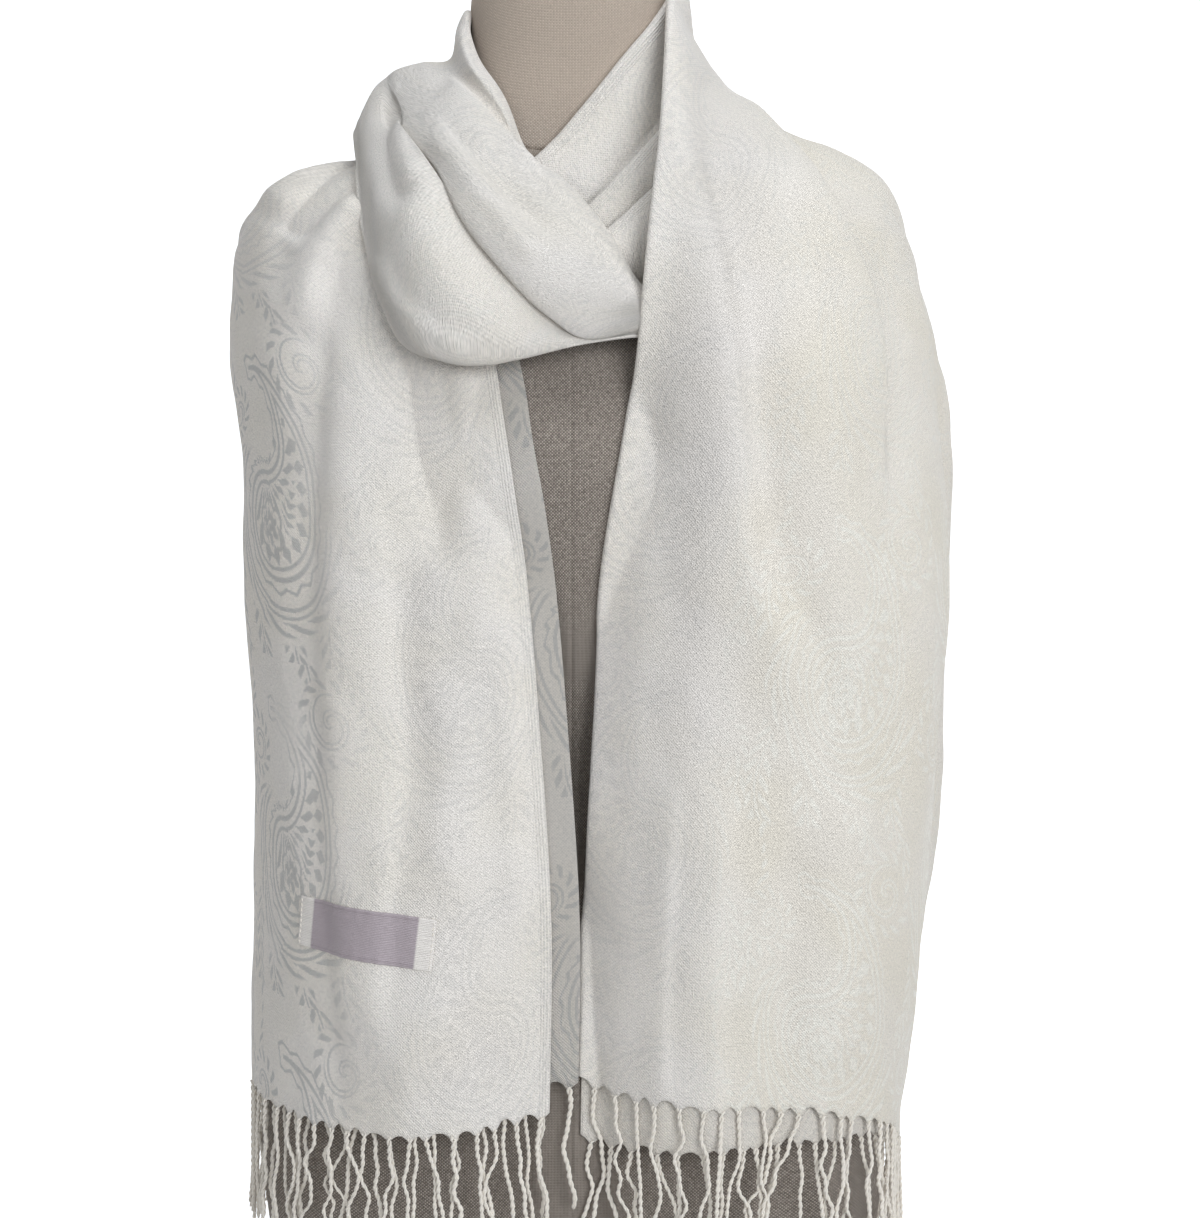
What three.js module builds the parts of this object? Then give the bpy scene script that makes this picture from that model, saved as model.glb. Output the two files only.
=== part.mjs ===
// A fringed shawl wound once round the neck of a limbless dress form.
// Millimetres, +Z up. The origin is the middle of the form's flat underside, and the front faces -Y.
import * as THREE from 'three';

// Driving dimensions
const WALL = 1.6; // thickness of one layer of cloth
const SEAM_GAP = 0.4; // left open between two pieces that touch
const FRINGE_LENGTH = 80;
const LABEL = { width: 63, height: 27, wall: 0.8, tilt: 7, station: 0.94, column: 1.62 };
const NECK_TOP = 830;

// How far the middle of each layer stays from the form
const PLEAT_CLEARANCE = 1.7;
const PLEAT_STEP = 2.5;
const INNER_CLEARANCE = 4.3;
const LOOP_CLEARANCE = 7.8;
const OUTER_CLEARANCE = 9;
const LAYER_STEP = 2.5; // from the middle of an end's outer layer in to the middle of its under layer

// Level rings of the form: height, half width, depth to the front and depth to the back
const FORM_RINGS = [
  { z: 0, side: 168, front: 96, back: 106 },
  { z: 60, side: 182, front: 104, back: 118 },
  { z: 130, side: 186, front: 108, back: 120 },
  { z: 230, side: 168, front: 100, back: 104 },
  { z: 330, side: 138, front: 89, back: 82 },
  { z: 420, side: 148, front: 104, back: 92 },
  { z: 500, side: 162, front: 122, back: 102 },
  { z: 560, side: 172, front: 112, back: 106 },
  { z: 620, side: 187, front: 91, back: 100 },
  { z: 645, side: 187, front: 81, back: 92 },
  { z: 662, side: 178, front: 75, back: 85 },
  { z: 678, side: 150, front: 70, back: 77 },
  { z: 690, side: 120, front: 67, back: 70 },
  { z: 704, side: 94, front: 64, back: 64 },
  { z: 720, side: 76, front: 62, back: 61 },
  { z: 742, side: 66, front: 60, back: 58 },
  { z: 780, side: 62, front: 60, back: 57 },
  { z: NECK_TOP, side: 59, front: 58, back: 55 },
];
const FORM_ROUNDNESS = 2.3;
const NECK_SEAM = { front: 688, back: 752 };
const SHOULDER_HEIGHT = 660;

// Level rings that the two hanging ends follow, and how far each end reaches round
const LEFT_RINGS = [
  { z: 138, side: 191, front: 129, back: 124, inner: -13, turn: 126 },
  { z: 250, side: 189, front: 129, back: 118, inner: -12, turn: 126 },
  { z: 360, side: 189, front: 129, back: 114, inner: -19, turn: 125 },
  { z: 460, side: 195, front: 127, back: 112, inner: -28, turn: 124 },
];
const RIGHT_RINGS = [
  { z: 138, side: 196, front: 133, back: 124, inner: 6, turn: 112 },
  { z: 250, side: 211, front: 134, back: 118, inner: 8, turn: 110 },
  { z: 360, side: 220, front: 135, back: 114, inner: 14, turn: 108 },
  { z: 460, side: 225, front: 138, back: 112, inner: 21, turn: 107 },
];
const DRAPE_ROUNDNESS = 2.7;

// Heights of the hems, from the inner edge of each layer round to its outer edge
const HEMS = {
  leftFront: [142, 132, 134, 145, 140, 136],
  leftUnder: [156, 150, 144, 138, 138, 136],
  rightFront: [158, 149, 146, 137, 122, 102, 98],
  rightUnder: [127, 121, 124, 124, 122, 112, 104],
};

// Stations of the inner stretch above the ribs, each from its neck side to its outer edge:
// up over the left shoulder, across the nape and round to the right side of the neck
const INNER_STATIONS = [
  [[-42, -116, 556], [-92, -106, 558], [-142, -88, 560], [-184, -54, 560], [-206, 5, 556], [-180, 82, 545]],
  [[-56, -84, 634], [-100, -76, 636], [-146, -62, 636], [-184, -38, 632], [-206, 8, 616], [-182, 86, 596]],
  [[-64, -62, 692], [-98, -56, 686], [-140, -36, 677], [-182, -26, 662], [-204, 14, 636], [-172, 92, 618]],
  [[-72, -8, 727], [-98, -8, 711], [-138, -6, 697], [-180, -2, 680], [-196, 30, 652], [-150, 100, 624]],
  [[-50, 46, 742], [-76, 58, 716], [-104, 72, 690], [-130, 86, 665], [-130, 98, 640], [-98, 108, 618]],
  [[2, 62, 770], [-6, 66, 744], [-16, 78, 712], [-26, 90, 684], [-30, 100, 654], [-26, 106, 624]],
  [[52, 30, 780], [52, 38, 762], [56, 46, 740], [62, 54, 718], [64, 64, 696], [64, 76, 672]],
  [[58, -10, 782], [62, -8, 766], [70, -6, 748], [78, -2, 734], [88, 2, 720], [98, 8, 706]],
];

// Stations of the outer stretch above the ribs, from its neck side to its outer edge: up over the
// right shoulder, across the nape, round the left side of the neck and down across the throat
const OUTER_STATIONS = [
  [[38, -140, 566], [84, -140, 566], [128, -128, 566], [168, -100, 564], [200, -62, 562],
    [224, 0, 556], [207, 70, 545]],
  [[46, -120, 648], [84, -114, 644], [120, -102, 640], [156, -80, 636], [188, -44, 630],
    [213, 4, 614], [203, 76, 598]],
  [[52, -90, 706], [82, -86, 694], [116, -74, 682], [148, -56, 672], [180, -32, 662], [206, 12, 642],
    [190, 86, 624]],
  [[59, -40, 785], [72, -18, 762], [96, -8, 732], [126, -4, 714], [162, 0, 696], [192, 26, 668],
    [164, 98, 634]],
  [[50, 58, 790], [66, 68, 756], [86, 80, 724], [108, 92, 696], [124, 102, 670], [124, 110, 648],
    [100, 118, 626]],
  [[2, 80, 794], [6, 88, 762], [10, 98, 730], [14, 108, 698], [16, 116, 668], [16, 120, 640], [14, 124, 612]],
  [[-54, 52, 786], [-64, 64, 762], [-76, 78, 738], [-90, 92, 714], [-104, 106, 690],
    [-114, 116, 666], [-118, 124, 642]],
  [[-66, 4, 775], [-70, -2, 782], [-72, -4, 754], [-90, -4, 752], [-105, -4, 748], [-112, -2, 742],
    [-119, 0, 735],
    [-126, 2, 721], [-131, 6, 709]],
  [[-56, -47, 747], [-61, -57, 743], [-65, -56, 730], [-81, -72, 712], [-96, -70, 702], [-101, -58, 707],
    [-109, -65, 697], [-120, -59, 688], [-126, -50, 684]],
  [[-40, -66, 721], [-42, -76, 715], [-47, -80, 705], [-62, -104, 684], [-75, -104, 671], [-80, -88, 677],
    [-95, -96, 659], [-110, -90, 643], [-119, -78, 638]],
  [[-24, -82, 687], [-25, -92, 681], [-30, -99, 673], [-44, -124, 651], [-59, -124, 638], [-63, -102, 647],
    [-80, -116, 624], [-98, -112, 603], [-107, -98, 599]],
  [[0, -100, 662], [-3, -112, 656], [-8, -120, 646], [-24, -136, 627], [-39, -135, 612], [-42, -114, 620],
    [-61, -130, 592], [-82, -127, 571], [-91, -113, 569]],
  [[23, -113, 632], [20, -122, 626], [15, -128, 618], [2, -137, 602], [-14, -135, 587], [-16, -120, 591],
    [-34, -132, 572], [-50, -130, 560], [-55, -120, 562]],
  [[36, -117, 609], [35, -124, 605], [31, -128, 599], [22, -133, 589], [10, -132, 574], [9, -125, 574],
    [3, -129, 572], [-7, -129, 568], [-11, -121, 570]],
  [[47, -117, 600], [46, -122, 598], [44, -126, 594], [42, -129, 588], [40, -129, 581], [39, -127, 578],
    [38, -126, 577], [36, -125, 575], [34, -120, 575]],
  [[64, -117, 596], [64, -120, 594], [63, -124, 590], [62, -126, 585], [61, -126, 580], [60, -125, 578],
    [59, -124, 577], [58, -122, 575], [57, -118, 575]],
];

// The two nets have this many columns across the cloth
const INNER_COLUMNS = 6;
const OUTER_COLUMNS = 9;

// Flat facets: round the form, across each stretch, and along it for each station
const FORM_FACETS = 40;
const INNER_FACETS = 18;
const OUTER_FACETS = 24;
const ROWS_PER_STATION = 4;
const ROWS_PER_STRAIGHT_STATION = 2;

// Where each stretch ends, counted in stations
const INNER_SPLIT = 7.75;
const INNER_END = 10.4;
const OUTER_SPLIT = 7.75;
const LOOP_SPLIT = 10.5;
const LOOP_END = 19;
const SPLIT_GAP = 0.021; // left open between two stretches of one cloth, in stations
const UNDER_TOP = 5;
const UNDER_SHOWS = 0.26; // how far the left under layer shows past the front one, in columns

// The three pleats that rise from the throat to the right side of the neck, each with its upper
// edge and its foot, which the next pleat or the loop covers
const PLEATS = [
  { name: 'loop_right_back', clearance: PLEAT_CLEARANCE,
    edge: [[56, -30, 784], [43, -46, 762], [22, -60, 731], [2, -66, 705], [-13, -69, 688], [-32, -74, 670]],
    foot: [[66, -18, 738], [62, -38, 708], [52, -58, 684], [34, -72, 662], [18, -80, 642], [-4, -84, 630]] },
  { name: 'loop_right_middle', clearance: PLEAT_CLEARANCE + PLEAT_STEP,
    edge: [[72, -42, 722], [57, -60, 705], [40, -71, 683], [21, -80, 661], [6, -86, 645]],
    foot: [[84, -48, 690], [72, -62, 672], [58, -76, 650], [40, -88, 626], [24, -94, 612]] },
  { name: 'loop_right_front', clearance: PLEAT_CLEARANCE + 2 * PLEAT_STEP,
    edge: [[74, -60, 682], [55, -74, 666], [40, -82, 650], [26, -90, 636], [10, -94, 622]],
    foot: [[84, -72, 640], [72, -84, 622], [60, -94, 606], [44, -102, 590], [30, -106, 578]] },
];

const cloth = () => new THREE.MeshStandardMaterial({ color: 0xd9d5cc, roughness: 0.75, metalness: 0 });
const linen = () => new THREE.MeshStandardMaterial({ color: 0x8d857b, roughness: 0.9, metalness: 0 });
const satin = () => new THREE.MeshStandardMaterial({ color: 0xb9b3bb, roughness: 0.5, metalness: 0 });

const toRadians = THREE.MathUtils.degToRad;
const lerp = THREE.MathUtils.lerp;

// A smooth curve between two values, with a slope at each
function hermite(start, startSlope, end, endSlope, t) {
  const t2 = t * t;
  const t3 = t2 * t;
  return (2 * t3 - 3 * t2 + 1) * start + (t3 - 2 * t2 + t) * startSlope
    + (3 * t2 - 2 * t3) * end + (t3 - t2) * endSlope;
}

// A smooth value between the middle two of four evenly spaced ones
function spline(a, b, c, d, t) {
  return hermite(b, (c - a) / 2, c, (d - b) / 2, t);
}

// The entry of a list at a whole index, carried on straight past either end
function entry(list, index) {
  const last = list.length - 1;
  const carryOn = (end, inner, count) => end.map((value, k) => value + count * (value - inner[k]));
  if (index < 0) return carryOn(list[0], list[1], -index);
  if (index > last) return carryOn(list[last], list[last - 1], index - last);
  return list[index];
}

// A point part of the way along a list of points
function along(list, at) {
  const step = Math.floor(at);
  const [a, b, c, d] = [-1, 0, 1, 2].map((k) => entry(list, step + k));
  return b.map((_, k) => spline(a[k], b[k], c[k], d[k], at - step));
}

// A ring of a table at any height, smooth through rings that are unevenly spaced
function ringAt(rings, z) {
  const above = rings.findIndex((ring) => ring.z > z);
  const step = above < 0 ? rings.length - 2 : Math.max(above - 1, 0);
  const [a, b, c, d] = [-1, 0, 1, 2].map((k) => rings[THREE.MathUtils.clamp(step + k, 0, rings.length - 1)]);
  const height = c.z - b.z;
  const ring = {};
  for (const name of Object.keys(b)) {
    const startSlope = ((c[name] - a[name]) / (c.z - a.z)) * height;
    const endSlope = ((d[name] - b[name]) / (d.z - b.z)) * height;
    ring[name] = hermite(b[name], startSlope, c[name], endSlope, (z - b.z) / height);
  }
  return ring;
}

// Distance from the middle axis to a ring, at an angle turned from the front towards +X
function radius(ring, angle, roundness) {
  const depth = Math.cos(angle) > 0 ? ring.front : ring.back;
  const across = Math.abs(Math.sin(angle)) / ring.side;
  const through = Math.abs(Math.cos(angle)) / depth;
  return (across ** roundness + through ** roundness) ** (-1 / roundness);
}

function ringPoint(ring, angle, roundness, z) {
  const reach = radius(ring, angle, roundness);
  return [reach * Math.sin(angle), -reach * Math.cos(angle), z];
}

function formPoint(angle, z) {
  return ringPoint(ringAt(FORM_RINGS, z), angle, FORM_ROUNDNESS, z);
}

// How far out of the form a point is, measured level
function reachPastForm([x, y, z]) {
  return Math.hypot(x, y) - radius(ringAt(FORM_RINGS, z), Math.atan2(x, -y), FORM_ROUNDNESS);
}

// Moves a point straight off the form until it has the clearance
function clearOfForm(point, clearance) {
  const step = 0.5;
  const mostTurns = 4;
  let moved = [...point];
  for (let turn = 0; turn < mostTurns; turn += 1) {
    const here = reachPastForm(moved);
    const slope = [0, 1, 2].map((axis) => {
      const beside = [...moved];
      beside[axis] += step;
      return (reachPastForm(beside) - here) / step;
    });
    const steepness = Math.hypot(...slope);
    const missing = clearance - here / steepness;
    if (missing <= 0) return moved;
    moved = moved.map((value, axis) => value + (missing * slope[axis]) / steepness);
  }
  return moved;
}

// A closed body from a grid of points: rows of equal length on its two faces
function bodyBetween(front, back) {
  const rows = front.length;
  const columns = front[0].length;
  const positions = [...front.flat(), ...back.flat()].flat();
  const at = (face, row, column) => face * rows * columns + row * columns + column;
  const triangles = [];
  const quad = (a, b, c, d) => triangles.push(a, b, c, a, c, d);
  for (let row = 0; row + 1 < rows; row += 1) {
    for (let column = 0; column + 1 < columns; column += 1) {
      quad(at(0, row, column), at(0, row, column + 1), at(0, row + 1, column + 1), at(0, row + 1, column));
      quad(at(1, row, column), at(1, row + 1, column), at(1, row + 1, column + 1), at(1, row, column + 1));
    }
  }
  const rim = [];
  for (let column = 0; column + 1 < columns; column += 1) rim.push([0, column]);
  for (let row = 0; row + 1 < rows; row += 1) rim.push([row, columns - 1]);
  for (let column = columns - 1; column > 0; column -= 1) rim.push([rows - 1, column]);
  for (let row = rows - 1; row > 0; row -= 1) rim.push([row, 0]);
  rim.forEach(([row, column], k) => {
    const [nextRow, nextColumn] = rim[(k + 1) % rim.length];
    quad(at(0, row, column), at(1, row, column), at(1, nextRow, nextColumn), at(0, nextRow, nextColumn));
  });
  return facingOut(positions, triangles);
}

// Turns every triangle over if the body encloses a negative volume
function facingOut(positions, triangles) {
  const point = (k) => new THREE.Vector3().fromArray(positions, 3 * k);
  let volume = 0;
  for (let k = 0; k < triangles.length; k += 3) {
    volume += point(triangles[k]).dot(point(triangles[k + 1]).cross(point(triangles[k + 2])));
  }
  const geometry = new THREE.BufferGeometry();
  geometry.setAttribute('position', new THREE.Float32BufferAttribute(positions, 3));
  geometry.setIndex(volume < 0 ? triangles.reverse() : triangles);
  geometry.computeVertexNormals();
  return geometry;
}

// The direction out of a surface given as a function of two numbers
function normalAt(surface, u, v) {
  const step = 0.01;
  const difference = (a, b) => new THREE.Vector3(...a).sub(new THREE.Vector3(...b));
  const alongRows = difference(surface(u + step, v), surface(u - step, v));
  const alongColumns = difference(surface(u, v + step), surface(u, v - step));
  return alongRows.cross(alongColumns).normalize();
}

// A wall of even thickness round a surface, moved out from it by a shift
function wall(surface, rowValues, columnValues, thickness, shift = 0) {
  const middle = [rowValues, columnValues].map((values) => values[Math.floor(values.length / 2)]);
  const [x, y] = surface(...middle);
  const outward = Math.sign(normalAt(surface, ...middle).dot(new THREE.Vector3(x, y, 0)));
  const pointAt = (u, v, distance) =>
    new THREE.Vector3(...surface(u, v)).addScaledVector(normalAt(surface, u, v), outward * distance).toArray();
  const face = (distance) => rowValues.map((u) => columnValues.map((v) => pointAt(u, v, distance)));
  return bodyBetween(face(shift + thickness / 2), face(shift - thickness / 2));
}

// Evenly spaced numbers from one value to another
function steps(from, to, count) {
  return Array.from({ length: count + 1 }, (_, k) => lerp(from, to, k / count));
}

// One station of a hanging end, from its inner edge round to its outer edge, at a height for each column
function hangingStation(rings, side, heights) {
  return heights.map((z, column) => {
    const ring = ringAt(rings, z);
    const start = Math.atan2(side * ring.inner, ring.front);
    const angle = lerp(start, toRadians(ring.turn), column / (heights.length - 1));
    const [x, y] = ringPoint(ring, angle, DRAPE_ROUNDNESS, z);
    return [side * x, y, z];
  });
}

// The same list of points with another number of them
function respaced(list, count) {
  return steps(0, list.length - 1, count - 1).map((at) => along(list, at));
}

// Stations as a net of equal rows, hanging ones first, the lowest of them along the hem
function netOf(rings, side, stations, columns, hem) {
  const hemHeights = respaced(hem.map((height) => [height]), columns).flat();
  const hanging = rings.slice(1).map((ring) => hangingStation(rings, side, Array(columns).fill(ring.z)));
  const rest = stations.map((station) => respaced(station, columns));
  return [hangingStation(rings, side, hemHeights), ...hanging, ...rest];
}

// A point of a net, counted in stations along it and in columns across it
function netPoint(net, u, v) {
  const step = THREE.MathUtils.clamp(Math.floor(u), 0, net.length - 2);
  const rows = [-1, 0, 1, 2].map((k) => THREE.MathUtils.clamp(step + k, 0, net.length - 1));
  const [a, b, c, d] = rows.map((row) => along(net[row], v));
  const before = step === 0 ? b.map((value, k) => 2 * value - c[k]) : a;
  const after = step === net.length - 2 ? c.map((value, k) => 2 * value - b[k]) : d;
  return b.map((_, k) => spline(before[k], b[k], c[k], after[k], u - step));
}

// A net's surface, kept off the form
function stretch(net, clearance) {
  return (u, v) => clearOfForm(netPoint(net, u, v), clearance);
}

const innerNet = (hem) => netOf(LEFT_RINGS, -1, INNER_STATIONS, INNER_COLUMNS, hem);
const outerNet = (hem) => netOf(RIGHT_RINGS, 1, OUTER_STATIONS, OUTER_COLUMNS, hem);
const leftFront = stretch(innerNet(HEMS.leftFront), INNER_CLEARANCE);
const leftUnder = stretch(innerNet(HEMS.leftUnder), INNER_CLEARANCE);
const rightFront = stretch(outerNet(HEMS.rightFront), OUTER_CLEARANCE);
const rightUnder = stretch(outerNet(HEMS.rightUnder), OUTER_CLEARANCE);
const loopFront = stretch(outerNet(HEMS.rightFront), LOOP_CLEARANCE);

const group = new THREE.Group();
function add(name, geometry, material) {
  const mesh = new THREE.Mesh(geometry, material);
  mesh.name = name;
  group.add(mesh);
}

// A closed body of rings, each a function from an angle to a point, capped at its two ends
function ringStack(rings) {
  const columns = FORM_FACETS;
  const positions = rings.flatMap((ring) => steps(0, 2 * Math.PI, columns).slice(0, columns).flatMap(ring));
  const last = rings.length - 1;
  for (const end of [rings[0], rings[last]]) positions.push(0, 0, (end(0)[2] + end(Math.PI)[2]) / 2);
  const bottomMiddle = rings.length * columns;
  const topMiddle = bottomMiddle + 1;
  const triangles = [];
  for (let k = 0; k < columns; k += 1) {
    const next = (k + 1) % columns;
    triangles.push(bottomMiddle, next, k);
    triangles.push(topMiddle, last * columns + k, last * columns + next);
    for (let low = 0; low < last * columns; low += columns) {
      const high = low + columns;
      triangles.push(low + k, low + next, high + next, low + k, high + next, high + k);
    }
  }
  return facingOut(positions, triangles);
}

// The form: a torso from the flat bottom up to the sloping neck seam, and the neck above it
const neckSeam = (angle) => lerp(NECK_SEAM.back, NECK_SEAM.front, (1 + Math.cos(angle)) / 2);
const levelRings = steps(0, SHOULDER_HEIGHT, 22).map((z) => (angle) => formPoint(angle, z));
const shoulderRings = steps(0, 1, 9).slice(1).map((share) => (angle) =>
  formPoint(angle, lerp(SHOULDER_HEIGHT, neckSeam(angle), share)));
const neckRings = steps(0, 1, 8).map((share) => (angle) =>
  formPoint(angle, lerp(neckSeam(angle) + SEAM_GAP, NECK_TOP, share ** 1.5)));
add('form_torso', ringStack([...levelRings, ...shoulderRings]), linen());
add('form_neck', ringStack(neckRings), linen());

// The stretches of cloth. The hanging part of an end is nearly straight, so it needs fewer rows.
function endRows(top) {
  const straight = LEFT_RINGS.length - 1;
  const low = steps(0, straight, straight * ROWS_PER_STRAIGHT_STATION);
  const high = steps(straight, top, (top - straight) * ROWS_PER_STATION);
  return [...low, ...high.slice(1)];
}
function stretchRows(from, to) {
  return steps(from + SPLIT_GAP, to, Math.round((to - from) * ROWS_PER_STATION));
}
const acrossInner = steps(0, INNER_COLUMNS - 1, INNER_FACETS);
const acrossOuter = steps(0, OUTER_COLUMNS - 1, OUTER_FACETS);
const leftUnderShifted = (u, v) => leftUnder(u, v - UNDER_SHOWS);
add('end_left_front', wall(leftFront, endRows(INNER_SPLIT), acrossInner, WALL), cloth());
add('end_left_under', wall(leftUnderShifted, endRows(UNDER_TOP), acrossInner, WALL, -LAYER_STEP), cloth());
add('back_inner', wall(leftFront, stretchRows(INNER_SPLIT, INNER_END), acrossInner, WALL), cloth());
add('end_right_front', wall(rightFront, endRows(OUTER_SPLIT), acrossOuter, WALL), cloth());
add('end_right_under', wall(rightUnder, endRows(UNDER_TOP), acrossOuter, WALL, -LAYER_STEP), cloth());
add('back_outer', wall(rightFront, stretchRows(OUTER_SPLIT, LOOP_SPLIT), acrossOuter, WALL), cloth());
add('loop_left', wall(loopFront, stretchRows(LOOP_SPLIT, LOOP_END), acrossOuter, WALL), cloth());

// The pleats of the loop's other half
for (const pleat of PLEATS) {
  const surface = (u, v) => {
    const edge = along(pleat.edge, u);
    const foot = along(pleat.foot, u);
    return clearOfForm(edge.map((value, k) => lerp(value, foot[k], v)), pleat.clearance);
  };
  add(pleat.name, wall(surface, steps(0, pleat.edge.length - 1, 10), steps(0, 1, 6), WALL), cloth());
}

// The reach of each fringe: a plain wall that hangs from the hem
function fringeBelow(layer) {
  return (u, v) => {
    const [x, y, z] = layer(0, v);
    return [x, y, z - SEAM_GAP - u * FRINGE_LENGTH];
  };
}
const fringeRows = steps(0, 1, 3);
add('fringe_left_front', wall(fringeBelow(leftFront), fringeRows, acrossInner, WALL), cloth());
add('fringe_left_under', wall(fringeBelow(leftUnderShifted), fringeRows, acrossInner, WALL, -LAYER_STEP), cloth());
add('fringe_right_front', wall(fringeBelow(rightFront), fringeRows, acrossOuter, WALL), cloth());
add('fringe_right_under', wall(fringeBelow(rightUnder), fringeRows, acrossOuter, WALL, -LAYER_STEP), cloth());

// The label lies on the left end and follows its surface
function labelPoint(a, b) {
  const { station, column } = LABEL;
  const tilt = toRadians(LABEL.tilt);
  const length = (p, q) => Math.hypot(...p.map((value, k) => value - q[k]));
  const perStation = length(leftFront(station + 0.5, column), leftFront(station - 0.5, column));
  const perColumn = length(leftFront(station, column + 0.5), leftFront(station, column - 0.5));
  return leftFront(
    station + (b * Math.cos(tilt) + a * Math.sin(tilt)) / perStation,
    column + (a * Math.cos(tilt) - b * Math.sin(tilt)) / perColumn,
  );
}
const labelRows = steps(-LABEL.height / 2, LABEL.height / 2, 3);
const labelColumns = steps(-LABEL.width / 2, LABEL.width / 2, 10);
const labelShift = WALL / 2 + SEAM_GAP + LABEL.wall / 2;
add('label', wall((a, b) => labelPoint(b, a), labelRows, labelColumns, LABEL.wall, labelShift), satin());

export default group;
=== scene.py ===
"""A fringed paisley shawl wound once round the neck of a dress form, built as an add-on."""

import math

import bpy
import numpy as np
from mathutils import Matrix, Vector


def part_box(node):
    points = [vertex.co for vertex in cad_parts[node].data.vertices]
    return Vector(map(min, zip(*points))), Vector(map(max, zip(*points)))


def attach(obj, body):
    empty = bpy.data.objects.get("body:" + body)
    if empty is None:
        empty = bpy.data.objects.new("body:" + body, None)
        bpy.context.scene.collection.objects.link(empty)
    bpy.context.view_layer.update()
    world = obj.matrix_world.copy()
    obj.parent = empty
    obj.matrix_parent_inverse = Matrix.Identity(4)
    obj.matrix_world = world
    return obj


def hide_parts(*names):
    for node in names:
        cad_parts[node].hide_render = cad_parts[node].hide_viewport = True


bl_info = {
    "name": "Wound shawl on a dress form",
    "version": (1, 0, 0),
    "blender": (4, 5, 0),
    "location": "3D View > Sidebar > Shawl",
    "description": "Builds a fringed shawl, its label, the dress form below it and a plain stage",
    "category": "Add Mesh",
}

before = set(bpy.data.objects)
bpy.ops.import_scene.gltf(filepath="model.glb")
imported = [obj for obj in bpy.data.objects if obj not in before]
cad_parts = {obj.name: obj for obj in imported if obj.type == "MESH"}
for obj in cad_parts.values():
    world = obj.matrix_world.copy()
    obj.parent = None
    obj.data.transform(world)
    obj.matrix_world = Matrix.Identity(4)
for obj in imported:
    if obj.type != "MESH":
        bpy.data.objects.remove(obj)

MM = 0.001
FORM_LOW, FORM_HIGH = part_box("form_torso")[0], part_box("form_neck")[1]
LABEL_LOW, LABEL_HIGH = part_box("label")

# ---------------------------------------------------------------------------------------------
# Tables of the shawl and the form, in millimetres, as the solid parts have them
# ---------------------------------------------------------------------------------------------

# Level rings of the form: height, half width, depth to the front, depth to the back
FORM_RINGS = np.array([
    (0, 168, 96, 106), (60, 182, 104, 118), (130, 186, 108, 120), (230, 168, 100, 104),
    (330, 138, 89, 82), (420, 148, 104, 92), (500, 162, 122, 102), (560, 172, 112, 106),
    (620, 187, 91, 100), (645, 187, 81, 92), (662, 178, 75, 85), (678, 150, 70, 77),
    (690, 120, 67, 70), (704, 94, 64, 64), (720, 76, 62, 61), (742, 66, 60, 58),
    (780, 62, 60, 57), (830, 59, 58, 55),
], float)
FORM_ROUNDNESS = 2.3
NECK_SEAM_FRONT, NECK_SEAM_BACK = 688, 752

# Level rings of the two hanging ends: height, half width, front, back, inner edge, turn in degrees
LEFT_RINGS = np.array([
    (138, 191, 129, 124, -13, 126), (250, 189, 129, 118, -12, 126),
    (360, 189, 129, 114, -19, 125), (460, 195, 127, 112, -28, 124),
], float)
RIGHT_RINGS = np.array([
    (138, 196, 133, 124, 6, 112), (250, 211, 134, 118, 8, 110),
    (360, 220, 135, 114, 14, 108), (460, 225, 138, 112, 21, 107),
], float)
DRAPE_ROUNDNESS = 2.7

# Heights of the hems, from the inner edge of each layer round to its outer edge
HEMS = {
    "left_front": (142, 132, 134, 145, 140, 136),
    "left_under": (156, 150, 144, 138, 138, 136),
    "right_front": (158, 149, 146, 137, 122, 102, 98),
    "right_under": (127, 121, 124, 124, 122, 112, 104),
}

# Stations of the inner stretch: over the left shoulder, across the nape, right side of the neck
INNER_STATIONS = (
    ((-42, -116, 556), (-92, -106, 558), (-142, -88, 560),
     (-184, -54, 560), (-206, 5, 556), (-180, 82, 545)),
    ((-56, -84, 634), (-100, -76, 636), (-146, -62, 636),
     (-184, -38, 632), (-206, 8, 616), (-182, 86, 596)),
    ((-64, -62, 692), (-98, -56, 686), (-140, -36, 677),
     (-182, -26, 662), (-204, 14, 636), (-172, 92, 618)),
    ((-72, -8, 727), (-98, -8, 711), (-138, -6, 692),
     (-177, -2, 670), (-194, 30, 648), (-150, 100, 624)),
    ((-50, 46, 742), (-76, 58, 716), (-104, 72, 690),
     (-130, 86, 665), (-130, 98, 640), (-98, 108, 618)),
    ((2, 62, 770), (-6, 66, 744), (-16, 78, 712), (-26, 90, 684), (-30, 100, 654), (-26, 106, 624)),
    ((52, 30, 780), (52, 38, 762), (56, 46, 740), (62, 54, 718), (64, 64, 696), (64, 76, 672)),
    ((58, -10, 782), (62, -8, 766), (70, -6, 748), (78, -2, 734), (88, 2, 720), (98, 8, 706)),
)

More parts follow.
